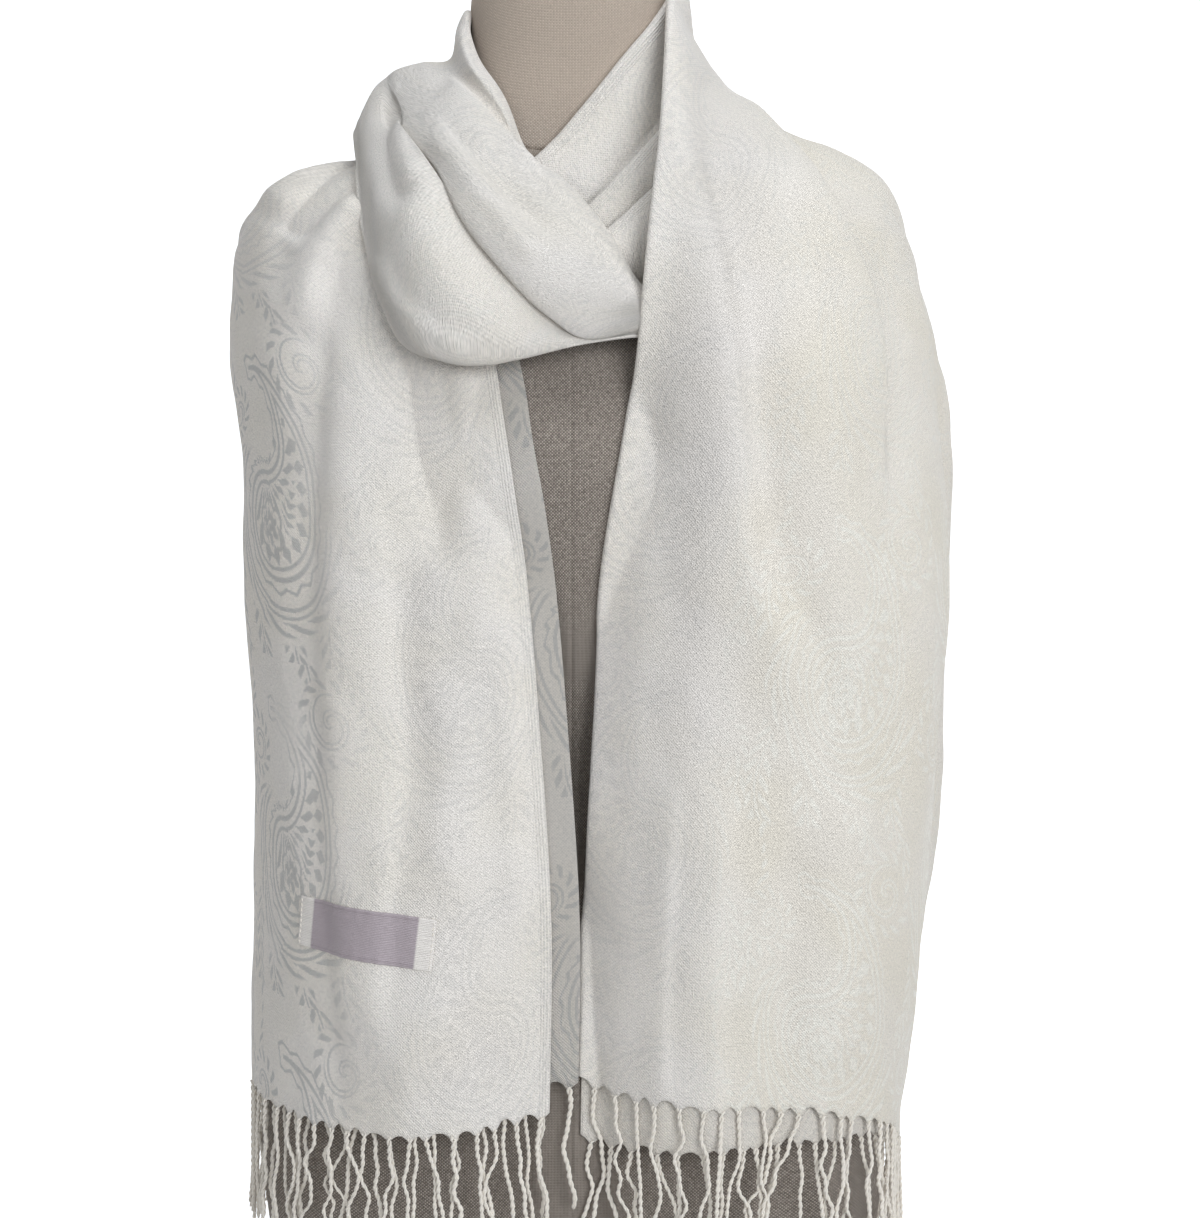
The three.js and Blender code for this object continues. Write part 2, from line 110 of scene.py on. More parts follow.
# Stations of the outer stretch: over the right shoulder, across the nape, round the left side
# of the neck and down across the throat
OUTER_STATIONS = (
    ((38, -140, 566), (84, -140, 566), (128, -128, 566), (168, -100, 564), (200, -62, 562),
     (224, 0, 556), (207, 70, 545)),
    ((46, -120, 648), (84, -114, 644), (120, -102, 640), (156, -80, 636), (188, -44, 630),
     (213, 4, 614), (203, 76, 598)),
    ((52, -90, 706), (82, -86, 694), (116, -74, 682), (148, -56, 672), (180, -32, 662),
     (206, 12, 642), (190, 86, 624)),
    ((59, -40, 785), (72, -18, 762), (96, -8, 732), (126, -4, 714), (162, 0, 696),
     (192, 26, 668), (164, 98, 634)),
    ((50, 58, 790), (66, 68, 756), (86, 80, 724), (108, 92, 696), (124, 102, 670),
     (124, 110, 648), (100, 118, 626)),
    ((2, 80, 794), (6, 88, 762), (10, 98, 730), (14, 108, 698), (16, 116, 668),
     (16, 120, 640), (14, 124, 612)),
    ((-54, 52, 770), (-64, 64, 756), (-76, 78, 738), (-90, 92, 714), (-104, 106, 690),
     (-114, 116, 666), (-118, 124, 642)),
    ((-65, -14, 780), (-69, -12, 771), (-74, -6, 754), (-90, -4, 752), (-105, -4, 748),
     (-112, -2, 742), (-119, 0, 735), (-126, 2, 721), (-131, 6, 709)),
    ((-56, -47, 747), (-61, -57, 743), (-65, -56, 730), (-81, -72, 712), (-96, -70, 702),
     (-101, -58, 707), (-109, -65, 697), (-120, -59, 688), (-126, -50, 684)),
    ((-40, -66, 721), (-42, -76, 715), (-47, -80, 705), (-62, -104, 684), (-75, -104, 671),
     (-80, -88, 677), (-95, -96, 659), (-110, -90, 643), (-119, -78, 638)),
    ((-24, -82, 687), (-25, -92, 681), (-30, -99, 673), (-44, -124, 651), (-59, -124, 638),
     (-63, -102, 647), (-80, -116, 624), (-98, -112, 603), (-107, -98, 599)),
    ((0, -100, 662), (-3, -112, 656), (-8, -120, 646), (-24, -136, 627), (-39, -135, 612),
     (-42, -114, 620), (-61, -130, 592), (-82, -127, 571), (-91, -113, 569)),
    ((23, -113, 632), (20, -122, 626), (15, -128, 618), (2, -137, 602), (-14, -135, 587),
     (-16, -120, 591), (-34, -132, 572), (-50, -130, 560), (-55, -120, 562)),
    ((36, -117, 609), (35, -124, 605), (31, -128, 599), (22, -133, 589), (10, -132, 574),
     (9, -125, 574), (3, -129, 572), (-7, -129, 568), (-11, -121, 570)),
    ((47, -117, 600), (46, -122, 598), (44, -126, 594), (42, -129, 588), (40, -129, 581),
     (39, -127, 578), (38, -126, 577), (36, -125, 575), (34, -120, 575)),
    ((64, -117, 596), (64, -120, 594), (63, -124, 590), (62, -126, 585), (61, -126, 580),
     (60, -125, 578), (59, -124, 577), (58, -122, 575), (57, -118, 575)),
)

INNER_COLUMNS, OUTER_COLUMNS = 6, 9

# Millimetres that the stretches stay clear of the form, and the step between two layers
INNER_CLEARANCE, LOOP_CLEARANCE, OUTER_CLEARANCE = 4.3, 7.8, 9.0
LEAST_CLEARANCE = 1.6
LAYER_STEP = 3.2

# Columns by which the left under layer shows beside the front one
UNDER_SHOWS = 0.26

# Stations where the under layers stop, and where a stretch ends or passes into the next
UNDER_TOP = 5
INNER_END, OUTER_SPLIT, LOOP_SPLIT, LOOP_END = 10.4, 7.75, 10.5, 19

# Where the outer stretch and the two under layers start across the woven figure, in millimetres.
# The under layers are counted back from it, so that the figure runs on round the outer edges
OUTER_START, UNDER_LEFT_START, UNDER_RIGHT_START = 350, 700, 1050

# The three pleats that rise to the right side of the neck: name, solid part, clearance, flat size,
# upper edge, and foot below it
PLEATS = (
    ("pleat_back", "loop_right_back", 1.7, (0.05, 0.15),
     ((56, -30, 784), (43, -46, 762), (22, -60, 731),
      (2, -66, 705), (-13, -69, 688), (-32, -74, 670)),
     ((66, -18, 738), (62, -38, 708), (52, -58, 684),
      (34, -72, 662), (18, -80, 642), (-4, -84, 630))),
    ("pleat_middle", "loop_right_middle", 5.2, (0.045, 0.10),
     ((72, -42, 722), (57, -60, 705), (40, -71, 683), (21, -80, 661), (6, -86, 645)),
     ((84, -48, 690), (72, -62, 672), (58, -76, 650), (40, -88, 626), (24, -94, 612))),
    ("pleat_front", "loop_right_front", 9.4, (0.04, 0.095),
     ((74, -60, 682), (55, -74, 666), (40, -82, 650), (26, -90, 636), (10, -94, 622)),
     ((84, -72, 640), (72, -84, 622), (60, -94, 606), (44, -102, 590), (30, -106, 578))),
)

# Folds that lie over the stretches. Each has the face it shows on, its half width (or one for each
# side, left of the route first), its height (negative for a trough) and its route, read as (x, z)
# on the front and back, (y, z) on a side.
FOLDS = {
    "left": (
        ("front", 36, 9.0,
         ((-118, 600), (-124, 520), (-126, 420), (-124, 320), (-118, 220), (-112, 150))),
        ("front", 11, -6.5, ((-86, 590), (-84, 550), (-80, 515), (-77, 480), (-76, 440))),
        ("front", 13, 4.0, ((-62, 580), (-56, 530), (-52, 460), (-50, 380))),
        ("front", (16, 8), -5.0, ((-98, 500), (-94, 400), (-90, 330), (-94, 250), (-98, 160))),
        ("front", 18, 4.0, ((-158, 600), (-162, 500), (-160, 380), (-154, 260), (-148, 170))),
        ("front", (10, 22), -6.0,
         ((-140, 620), (-144, 520), (-146, 420), (-142, 320), (-136, 220), (-130, 120))),
        ("front", (30, 24), 9.0, ((-86, 340), (-82, 260), (-84, 190), (-90, 120), (-92, 60))),
        ("front", 44, -15.0, ((-22, 600), (-10, 480), (0, 380), (8, 260), (10, 140), (10, 20))),
        ("front", (5, 10), 3.0, ((-40, 520), (-36, 430), (-32, 330), (-30, 230))),
        ("front", (12, 9), -16.0,
         ((-104, 716), (-119, 700), (-132, 683), (-144, 669), (-156, 655), (-168, 638))),
        ("front", 24, 5.0, ((-112, 718), (-138, 702), (-160, 678), (-176, 650))),
        ("front", (9, 15), 8.0, ((-118, 664), (-132, 648), (-142, 632), (-150, 610), (-152, 576))),
        ("side", 20, 5.0, ((30, 600), (38, 480), (34, 360), (40, 220))),
        ("side", 16, -4.5, ((0, 580), (-4, 460), (4, 320), (-2, 200))),
        ("side", 22, 5.0, ((84, 560), (88, 430), (82, 300), (86, 170))),
        ("back", 18, 4.0, ((-120, 640), (-134, 560), (-138, 440), (-134, 300), (-140, 170))),
    ),
    "right": (
        ("front", 56, -22.0,
         ((30, 640), (20, 520), (12, 420), (-4, 320), (-14, 220), (-18, 120), (-18, 20))),
        ("front", (12, 34), 8.0,
         ((56, 760), (64, 690), (78, 630), (86, 579),
          (93, 512), (101, 451), (123, 395), (130, 300))),
        ("front", (16, 9), -6.0,
         ((66, 740), (74, 685), (88, 630), (96, 579),
          (103, 512), (111, 451), (133, 395), (142, 300))),
        ("front", 20, 6.0,
         ((104, 700), (122, 640), (134, 580), (142, 500), (150, 420), (158, 340))),
        ("front", (4.4, 26), 6.5,
         ((88, 736), (104, 718), (121, 696), (142, 660),
          (157, 626), (168, 592), (173, 545), (172, 470))),
        ("front", (17, 4.4), -8.0,
         ((98, 740), (113, 722), (130, 700), (151, 664),
          (166, 629), (177, 593), (182, 545), (181, 470))),
        ("front", 20, 5.0, ((164, 330), (156, 240), (150, 150))),
        ("front", 30, -10.0, ((-4, 300), (-12, 220), (-18, 140), (-18, 60), (-18, 0))),
        ("front", (14, 10), -5.0, ((128, 310), (120, 230), (114, 150), (112, 90))),
        ("front", (9, 22), 6.0, ((88, 340), (78, 250), (78, 170), (84, 100))),
        ("front", (5, 12), 3.0, ((58, 340), (52, 250), (50, 170), (52, 120))),
        ("side", 20, 6.0, ((20, 600), (26, 480), (24, 340), (28, 200))),
        ("side", 16, -5.5, ((-20, 600), (-14, 470), (-18, 330), (-12, 180))),
        ("side", 20, 6.0, ((70, 580), (76, 430), (70, 280), (74, 150))),
    ),
    "loop": (
        ("front", (2.4, 13), 3.6, ((-73, 736), (-61, 720), (-46, 702), (-29, 684), (-14, 668))),
        ("front", (6, 2.4), -3.0, ((-70, 739), (-58, 723), (-43, 705), (-26, 687), (-12, 671))),
        ("front", (7, 9), -8.0,
         ((-106, 730), (-108, 712), (-107, 696), (-103, 680), (-97, 662), (-89, 642))),
        ("front", 5.5, 3.5, ((-104, 708), (-101, 692), (-97, 676), (-90, 658))),
        ("front", 6.0, 3.0, ((-112, 630), (-100, 600), (-78, 577), (-48, 564))),
        ("front", 6.0, 2.4, ((-84, 700), (-62, 672), (-38, 640), (-14, 612))),
        ("front", (5, 3), -2.4, ((-78, 710), (-58, 684), (-32, 652), (-4, 624))),
        ("front", 4.0, 1.8, ((-60, 700), (-40, 676), (-20, 652), (6, 628))),
    ),
    "nape": (
        ("back", 12, 4.0, ((-100, 690), (-50, 708), (0, 714), (50, 706), (100, 680))),
        ("back", 10, -3.0, ((-110, 664), (-56, 684), (0, 690), (60, 680), (110, 656))),
        ("back", 13, 4.0, ((-70, 740), (-30, 752), (10, 752), (60, 736))),
        ("back", 12, 4.0, ((-110, 640), (-50, 652), (10, 652), (80, 640), (120, 624))),
        ("back", 9, -3.0, ((-60, 720), (-10, 730), (40, 724), (80, 706))),
    ),
}
FOLD_AXES = {"front": (0, 2), "back": (0, 2), "side": (1, 2)}

# Slow waves of the hanging cloth: length across, length along, height, shift, in millimetres
WAVES = (
    (148, 410, 1.3, 20), (83, 260, 0.9, 75), (47, 330, 0.5, 10), (210, 170, 0.7, 130),
    (31, 96, 0.3, 47), (66, 71, 0.35, 18), (19, 44, 0.12, 5),
)


# ---------------------------------------------------------------------------------------------
# Curves and surfaces
# ---------------------------------------------------------------------------------------------

def shares(count, places):
    """How much each of a list's values counts at each place, on a smooth curve through them all."""
    places = np.asarray(places, float)
    step = np.floor(places).astype(int)
    t = places - step
    blend = (
        (-t + 2 * t**2 - t**3) / 2,
        (2 - 5 * t**2 + 3 * t**3) / 2,
        (t + 4 * t**2 - 3 * t**3) / 2,
        (t**3 - t**2) / 2,
    )
    made = np.zeros((len(places), count))
    rows = np.arange(len(places))
    for k, share in enumerate(blend):
        index = step + k - 1
        before = np.maximum(-index, 0)
        after = np.maximum(index - count + 1, 0)
        np.add.at(made, (rows, np.clip(index, 0, count - 1)), share)
        made[:, 0] += share * before
        made[:, 1] -= share * before
        made[:, -1] += share * after
        made[:, -2] -= share * after
    return made


def ring_at(rings, z):
    """The numbers of a ring at each height, smooth through rings that are unevenly spaced."""
    heights = rings[:, 0]
    step = np.clip(np.searchsorted(heights, z, side="right") - 1, 0, len(rings) - 2)
    a, b, c, d = (rings[np.clip(step + k, 0, len(rings) - 1)] for k in (-1, 0, 1, 2))
    span = c[..., :1] - b[..., :1]
    start = (c - a) / (c[..., :1] - a[..., :1]) * span
    end = (d - b) / (d[..., :1] - b[..., :1]) * span
    t = (np.asarray(z, float)[..., None] - b[..., :1]) / span
    t2, t3 = t * t, t * t * t
    made = (2 * t3 - 3 * t2 + 1) * b + (t3 - 2 * t2 + t) * start
    made = made + (3 * t2 - 2 * t3) * c + (t3 - t2) * end
    return made[..., 1:]


def radius(ring, angle, roundness):
    """Distance from the middle axis to a ring, at an angle turned from the front towards +X."""
    depth = np.where(np.cos(angle) > 0, ring[..., 1], ring[..., 2])
    across = np.abs(np.sin(angle)) / ring[..., 0]
    through = np.abs(np.cos(angle)) / depth
    return (across**roundness + through**roundness) ** (-1 / roundness)


def ring_point(ring, angle, roundness, z):
    reach = radius(ring, angle, roundness)
    return np.stack([reach * np.sin(angle), -reach * np.cos(angle), z + 0 * angle], axis=-1)


def reach_past_form(points):
    x, y, z = np.moveaxis(points, -1, 0)
    return np.hypot(x, y) - radius(ring_at(FORM_RINGS, z), np.arctan2(x, -y), FORM_ROUNDNESS)


def clear_of_form(points, clearance):
    """Moves each point straight off the form until it has the clearance."""
    step, turns = 0.5, 4
    moved = points.copy()
    for _ in range(turns):
        here = reach_past_form(moved)
        slopes = [(reach_past_form(moved + step * axis) - here) / step for axis in np.eye(3)]
        slope = np.stack(slopes, axis=-1)
        steepness = np.linalg.norm(slope, axis=-1)
        missing = np.maximum(clearance - here / steepness, 0)
        moved += (missing / steepness)[..., None] * slope
    return moved


def hanging_station(rings, side, heights):
    """One station of a hanging end, from its inner edge round to its outer edge."""
    heights = np.asarray(heights, float)
    ring = ring_at(rings, heights)
    start = np.arctan2(side * ring[:, 3], ring[:, 1])
    share = np.linspace(0, 1, len(heights))
    angle = start + (np.radians(ring[:, 4]) - start) * share
    return ring_point(ring, angle, DRAPE_ROUNDNESS, heights) * (side, 1, 1)


def respaced(values, count):
    values = np.array(values, float)
    return shares(len(values), np.linspace(0, len(values) - 1, count)) @ values


def net_of(rings, side, stations, columns, hem):
    """Stations as a net of equal rows: the hem, the hanging ones and the rest."""
    low = hanging_station(rings, side, respaced(hem, columns))
    hanging = [hanging_station(rings, side, np.full(columns, ring[0])) for ring in rings[1:]]
    return np.array([low, *hanging, *(respaced(station, columns) for station in stations)])


def surface(net, along, across):
    """A grid of points on a net, counted in stations and in columns."""
    rows, columns = net.shape[:2]
    return np.einsum("ui,vj,ijk->uvk", shares(rows, along), shares(columns, across), net)


def lengths(line):
    """Distance along a line of points, from its start."""
    steps = np.linalg.norm(np.diff(line, axis=0), axis=-1)
    return np.concatenate([np.zeros((1, *steps.shape[1:])), np.cumsum(steps, axis=0)])


def even_places(net, column, start, end, spacing):
    """Places along a net, about the spacing apart when measured down one column."""
    fine = np.linspace(start, end, 400)
    run = lengths(surface(net, fine, [column])[:, 0])
    return np.interp(np.linspace(0, run[-1], round(run[-1] / spacing) + 1), run, fine)


def normals_of(grid):
    """Directions out of a grid of points, away from the middle axis."""
    across = np.cross(np.gradient(grid, axis=0), np.gradient(grid, axis=1))
    made = across / np.maximum(np.linalg.norm(across, axis=-1, keepdims=True), 1e-9)
    row, column = grid.shape[0] // 2, grid.shape[1] // 2
    outward = np.sign(made[row, column, :2] @ grid[row, column, :2])
    return made * outward


def relaxed(grid, times):
    """The grid with its sharpest kinks eased, its rim left as it is."""
    eased = grid.copy()
    for _ in range(times):
        around = eased[:-2, 1:-1] + eased[2:, 1:-1] + eased[1:-1, :-2] + eased[1:-1, 2:]
        eased[1:-1, 1:-1] = 0.5 * eased[1:-1, 1:-1] + 0.125 * around
    return eased


def smooth_sides(grid, columns, times):
    """The grid with the kinks along its two side edges eased, a few columns in."""
    eased = grid.copy()
    share = np.clip(1 - np.arange(columns) / columns, 0, 1)[None, :, None] * 0.5
    for _ in range(times):
        for part in (slice(0, columns), slice(-1, -1 - columns, -1)):
            line = eased[:, part]
            middle = (line[:-2] + line[2:]) / 2
            line[1:-1] = line[1:-1] * (1 - share) + middle * share
    return eased


def near_route(places, route):
    """Distance of each place to a smooth route, negative on its right, and how far along it."""
    smooth = respaced(route, 6 * len(route))
    best = np.full(len(places), np.inf)
    share, side = np.zeros(len(places)), np.ones(len(places))
    for k, (a, b) in enumerate(zip(smooth[:-1], smooth[1:])):
        step = b - a
        past = places - a
        t = np.clip(past @ step / (step @ step), 0, 1)
        away = np.linalg.norm(past - t[:, None] * step, axis=1)
        closer = away < best
        best[closer] = away[closer]
        share[closer] = (k + t[closer]) / (len(smooth) - 1)
        side[closer] = np.sign(step[0] * past[closer, 1] - step[1] * past[closer, 0])
    return best * side, share


def smooth_step(low, high, x):
    t = np.clip((x - low) / (high - low), 0, 1)
    return t * t * (3 - 2 * t)


def fold_heights(grid, name):
    """How far the folds of one table lift a grid."""
    points = grid.reshape(-1, 3)
    facing = {
        "front": smooth_step(10, -30, points[:, 1]),
        "back": smooth_step(20, 60, points[:, 1]),
        "side": smooth_step(140, 175, np.abs(points[:, 0])),
    }
    lift = np.zeros(len(points))
    for face, width, height, route in FOLDS[name]:
        away, share = near_route(points[:, FOLD_AXES[face]], route)
        taper = smooth_step(0, 0.18, share) * smooth_step(1, 0.82, share)
        left, right = width if isinstance(width, tuple) else (width, width)
        half_width = np.where(away > 0, left, right)
        lift += height * np.exp(-(away / half_width) ** 2) * taper * facing[face]
    return lift.reshape(grid.shape[:2])


def wave_heights(along, across):
    """The slow waves of the cloth, from its own lengths."""
    lift = np.zeros_like(along)
    for wide, long, height, shift in WAVES:
        wander = 1.7 * np.sin(2 * np.pi * along / long)
        lift += height * np.sin(2 * np.pi * (across + shift) / wide + wander)
    return lift


class Cloth:
    """A stretch of cloth as a grid of points, with the cloth's own lengths along and across it."""

    def __init__(self, grid, along, across):
        self.grid, self.along, self.across = grid, along, across

    @classmethod
    def measured(cls, grid):
        """A grid of points as cloth, its lengths measured on the grid."""
        return cls(grid, lengths(grid), np.swapaxes(lengths(np.swapaxes(grid, 0, 1)), 0, 1))

    def lifted(self, heights):
        grid = self.grid + normals_of(self.grid) * heights[..., None]
        return Cloth(grid, self.along, self.across)

    def rows(self, start, end):
        return Cloth(self.grid[start:end], self.along[start:end], self.across[start:end])


def cloth_on(net, along, across, clearance):
    """Cloth on a net, clear of the form."""
    grid = clear_of_form(surface(net, along, across), clearance)
    return Cloth.measured(relaxed(grid, 2))


def cord_places(width, spacing, seed):
    """Distances across the cloth where the cords of the fringe start, none quite even."""
    count, unevenness = int(width / spacing), 0.17
    shift = np.random.default_rng(seed).uniform(-unevenness, unevenness, count)
    return (np.arange(count) + 0.5 + shift) * spacing


def scalloped(cloth, spacing, seed):
    """The cloth with its hem drawn down to a point at each cord of the fringe."""
    reach, drop, width = 13, 2.4, 3.0
    rise = 2.2 + 1.0 * np.sin(cloth.across / 17) + 0.8 * np.sin(cloth.across / 7.3 + seed)
    cords = cord_places(cloth.across[0, -1], spacing, seed)
    away = np.abs(cloth.across[..., None] - cords).min(axis=-1)
    fade = np.clip(1 - cloth.along / reach, 0, 1) ** 2
    shift = (rise - (rise + drop) * np.exp(-(away / width) ** 2)) * fade
    grid = cloth.grid.copy()
    grid[..., 2] += shift
    return Cloth(grid, cloth.along, cloth.across)


# ---------------------------------------------------------------------------------------------
# Meshes
# ---------------------------------------------------------------------------------------------

def new_object(name, points, faces, uv):
    """A smooth mesh object from points in millimetres, with a UV map in metres of cloth."""
    mesh = bpy.data.meshes.new(name)
    mesh.from_pydata((np.asarray(points) * MM).tolist(), [], [list(face) for face in faces])
    mesh.polygons.foreach_set("use_smooth", [True] * len(mesh.polygons))
    corner = np.zeros(len(mesh.loops), np.int32)
    mesh.loops.foreach_get("vertex_index", corner)
    layer = mesh.uv_layers.new(name="Cloth")
    layer.data.foreach_set("uv", (np.asarray(uv)[corner] * MM).astype(np.float32).ravel())
    mesh.update()
    made = bpy.data.objects.new(name, mesh)
    bpy.context.scene.collection.objects.link(made)
    return made


def shell(name, cloth, thickness):
    """A closed thin shell round a stretch of cloth, with a rounded rim."""
    grid, normal = cloth.grid, normals_of(cloth.grid)
    rows, columns = grid.shape[:2]
    faces = [(grid + side * thickness / 2 * normal).reshape(-1, 3) for side in (1, -1)]
    index = np.arange(rows * columns).reshape(rows, columns)
    quads = np.stack([index[:-1, :-1], index[:-1, 1:], index[1:, 1:], index[1:, :-1]], axis=-1)
    quads = quads.reshape(-1, 4)
    rim = np.concatenate([index[0, :-1], index[:-1, -1], index[-1, :0:-1], index[:0:-1, 0]])
    inner_row, inner_column = (np.clip(np.arange(n), 1, n - 2) for n in (rows, columns))
    inner = grid[inner_row][:, inner_column]
    outwards = (grid - inner).reshape(-1, 3)[rim]
    outwards /= np.maximum(np.linalg.norm(outwards, axis=1, keepdims=True), 1e-9)
    middle = grid.reshape(-1, 3)[rim] + outwards * thickness / 2
    count = rows * columns
    lip = 2 * count + np.arange(len(rim))
    following = np.roll(np.arange(len(rim)), -1)
    upper = np.stack([rim[following], rim, lip, lip[following]], axis=-1)
    lower = np.stack([lip[following], lip, rim + count, rim[following] + count], axis=-1)
    points = np.concatenate([*faces, middle])
    all_quads = np.concatenate([quads, quads[:, ::-1] + count, upper, lower])
    sample = quads[len(quads) // 2]
    a, b, c = points[sample[:3]]
    if np.cross(b - a, c - a) @ (faces[0] - faces[1])[sample[0]] < 0:
        all_quads = all_quads[:, ::-1]
    flat = np.stack([cloth.across, cloth.along], axis=-1).reshape(-1, 2)
    return new_object(name, points, all_quads, np.concatenate([flat, flat, flat[rim]]))


def rolled(cloth, at_start=True, at_end=True, bend=2.4):
    """The cloth with its side edges turned in through a half circle, as at a soft fold."""
    turns = np.radians((30, 60, 90, 120, 150, 180))
    normal = normals_of(cloth.grid)
    grid, along, across = cloth.grid, cloth.along, cloth.across

    def turned(edge, beside):
        outwards = grid[:, edge] - grid[:, beside]
        outwards /= np.linalg.norm(outwards, axis=1, keepdims=True)
        sign = -1 if edge == 0 else 1
        out, down = (bend * part for part in (np.sin(turns), 1 - np.cos(turns)))
        steps = outwards[:, None] * out[:, None] - normal[:, edge, None] * down[:, None]
        points = grid[:, edge, None] + steps
        places = across[:, edge, None] + sign * bend * turns
        runs = np.repeat(along[:, edge, None], len(turns), axis=1)
        if edge == 0:
            return points[:, ::-1], runs, places[:, ::-1]
        return points, runs, places

    first = [turned(0, 1)] if at_start else []
    last = [turned(-1, -2)] if at_end else []
    bands = [*first, (grid, along, across), *last]
    return Cloth(*(np.concatenate(parts, axis=1) for parts in zip(*bands)))


def tube_faces(rings, sides, first=0):
    """The faces of a closed tube whose points are counted ring by ring from the first."""
    index = first + np.arange(rings * sides).reshape(rings, sides)
    turned = np.roll(index, -1, axis=1)
    quads = np.stack([index[:-1], turned[:-1], turned[1:], index[1:]], axis=-1)
    return quads.reshape(-1, 4).tolist() + [index[0, ::-1].tolist(), index[-1].tolist()]


# ---------------------------------------------------------------------------------------------
# Shaders
# ---------------------------------------------------------------------------------------------

class Value:
    """A number in a shader, so that shader maths is written as a Python expression."""

    def __init__(self, shader, socket):
        self.shader, self.socket = shader, socket

    def maths(self, operation, *others):
        inputs = dict(enumerate((self, *others)))
        return self.shader.node("ShaderNodeMath", {"operation": operation}, inputs)

    def __add__(self, other):
        return self.maths("ADD", other)

    def __sub__(self, other):
        return self.maths("SUBTRACT", other)

    def __rsub__(self, other):
        return (self * -1) + other

    def __mul__(self, other):
        return self.maths("MULTIPLY", other)

    def __truediv__(self, other):
        return self.maths("DIVIDE", other)

    def __mod__(self, other):
        return self.maths("FLOORED_MODULO", other)

    def __abs__(self):
        return self.maths("ABSOLUTE")

    __radd__ = __add__
    __rmul__ = __mul__

    def sine(self):
        return self.maths("SINE")

    def cosine(self):
        return self.maths("COSINE")

    def fraction(self):
        return self.maths("FRACT")

    def whole(self):
        return self.maths("FLOOR")

    def least(self, other):
        return self.maths("MINIMUM", other)

    def most(self, other):
        return self.maths("MAXIMUM", other)

    def ramp(self, low, high):
        """0 below low, 1 above high and smooth between them, or the reverse."""
        settings = {"interpolation_type": "SMOOTHSTEP"}
        inputs = {"Value": self, "From Min": low, "From Max": high}
        if low > high:
            inputs |= {"From Min": high, "From Max": low, "To Min": 1.0, "To Max": 0.0}
        return self.shader.node("ShaderNodeMapRange", settings, inputs)

    def line(self, width):
        """1 where the number is near 0, as far as about half the width on each side."""
        return abs(self).ramp(width * 0.6, width * 0.36)


class Shader:
    """A material and the nodes in it."""

    def __init__(self, name):
        self.material = bpy.data.materials.new(name)
        self.material.use_nodes = True
        self.tree = self.material.node_tree
        self.tree.nodes.clear()

    def node(self, kind, settings=None, inputs=None, output=0):
        """Adds a node: its settings first, then a value or a link for each input."""
        made = self.tree.nodes.new(kind)
        for name, value in (settings or {}).items():
            setattr(made, name, value)
        for name, value in (inputs or {}).items():
            if isinstance(value, Value):
                self.tree.links.new(value.socket, made.inputs[name])
            else:
                made.inputs[name].default_value = value
        return Value(self, made.outputs[output])

    def mixed(self, factor, first, second):
        """A colour part of the way from the first to the second."""
        settings = {"data_type": "RGBA"}
        # The node has a pair of sockets for each type of data, and the colours' are 6 and 7
        return self.node("ShaderNodeMix", settings, {0: factor, 6: first, 7: second}, 2)

    def point(self, x, y):
        return self.node("ShaderNodeCombineXYZ", None, {"X": x, "Y": y})

    def distance(self, point, x, y):
        settings = {"operation": "DISTANCE"}
        return self.node("ShaderNodeVectorMath", settings, {0: point, 1: (x, y, 0)}, "Value")

    def noise(self, point, scale, detail=2.0, roughness=0.5):
        inputs = {"Vector": point, "Scale": scale, "Detail": detail, "Roughness": roughness}
        return self.node("ShaderNodeTexNoise", {"noise_dimensions": "3D"}, inputs)

    def chance(self, number):
        """A number from 0 to 1 that is different for each whole number."""
        return self.node("ShaderNodeTexWhiteNoise", {"noise_dimensions": "1D"}, {"W": number})

    def parts(self, vector):
        """The first two parts of a vector."""
        split = self.node("ShaderNodeSeparateXYZ", None, {0: vector}).socket.node
        return Value(self, split.outputs[0]), Value(self, split.outputs[1])

    def cloth_place(self):
        """Millimetres across and along the cloth."""
        across, along = self.parts(self.node("ShaderNodeUVMap", {"uv_map": "Cloth"}))
        return across / MM, along / MM

    def bump(self, height, distance, strength=1.0):
        inputs = {"Height": height, "Distance": distance, "Strength": strength}
        return self.node("ShaderNodeBump", None, inputs)

    def finish(self, inputs):
        """The surface itself."""
        surface_shader = self.node("ShaderNodeBsdfPrincipled", None, inputs)
        out = self.tree.nodes.new("ShaderNodeOutputMaterial")
        self.tree.links.new(surface_shader.socket, out.inputs["Surface"])
        return self.material


def polar(shader, point, x, y):
    """Distance from a place in the figure, and how far round it, in radians."""
    settings = {"operation": "SUBTRACT"}
    away = shader.node("ShaderNodeVectorMath", settings, {0: point, 1: (x, y, 0)})
    across, along = shader.parts(away)
    return shader.distance(point, x, y), across.maths("ARCTAN2", along)


def rosette(shader, point, x, y, petals, size):
    """A flower: a scalloped outline, a ring of petals and a ring in the middle."""
    away, turn = polar(shader, point, x, y)
    lobe = abs((turn * (petals / 2)).cosine())
    outline = (away - size * 0.80 - lobe * (size * 0.2)).line(2.1)
    petal = (away - size * 0.16 - lobe * (size * 0.5)).ramp(0.6, -0.6)
    return outline.most(petal - (away - size * 0.2).line(1.6))


def scroll(shader, point, x, y, pitch, reach):
    """A curling tendril: two close lines that wind out from a middle, with thin barbs outside."""
    away, turn = polar(shader, point, x, y)
    wind = ((away / pitch - turn / (2 * math.pi)).fraction() - 0.5) * pitch
    curl = (abs(wind) - 1.9).line(1.9) * away.ramp(reach, reach - 2)
    barb = abs((turn * 6.5 + away * 0.22).sine()).ramp(0.72, 0.86)
    return curl.most(barb * away.ramp(reach + 1, reach + 2) * away.ramp(reach + 10, reach + 8))


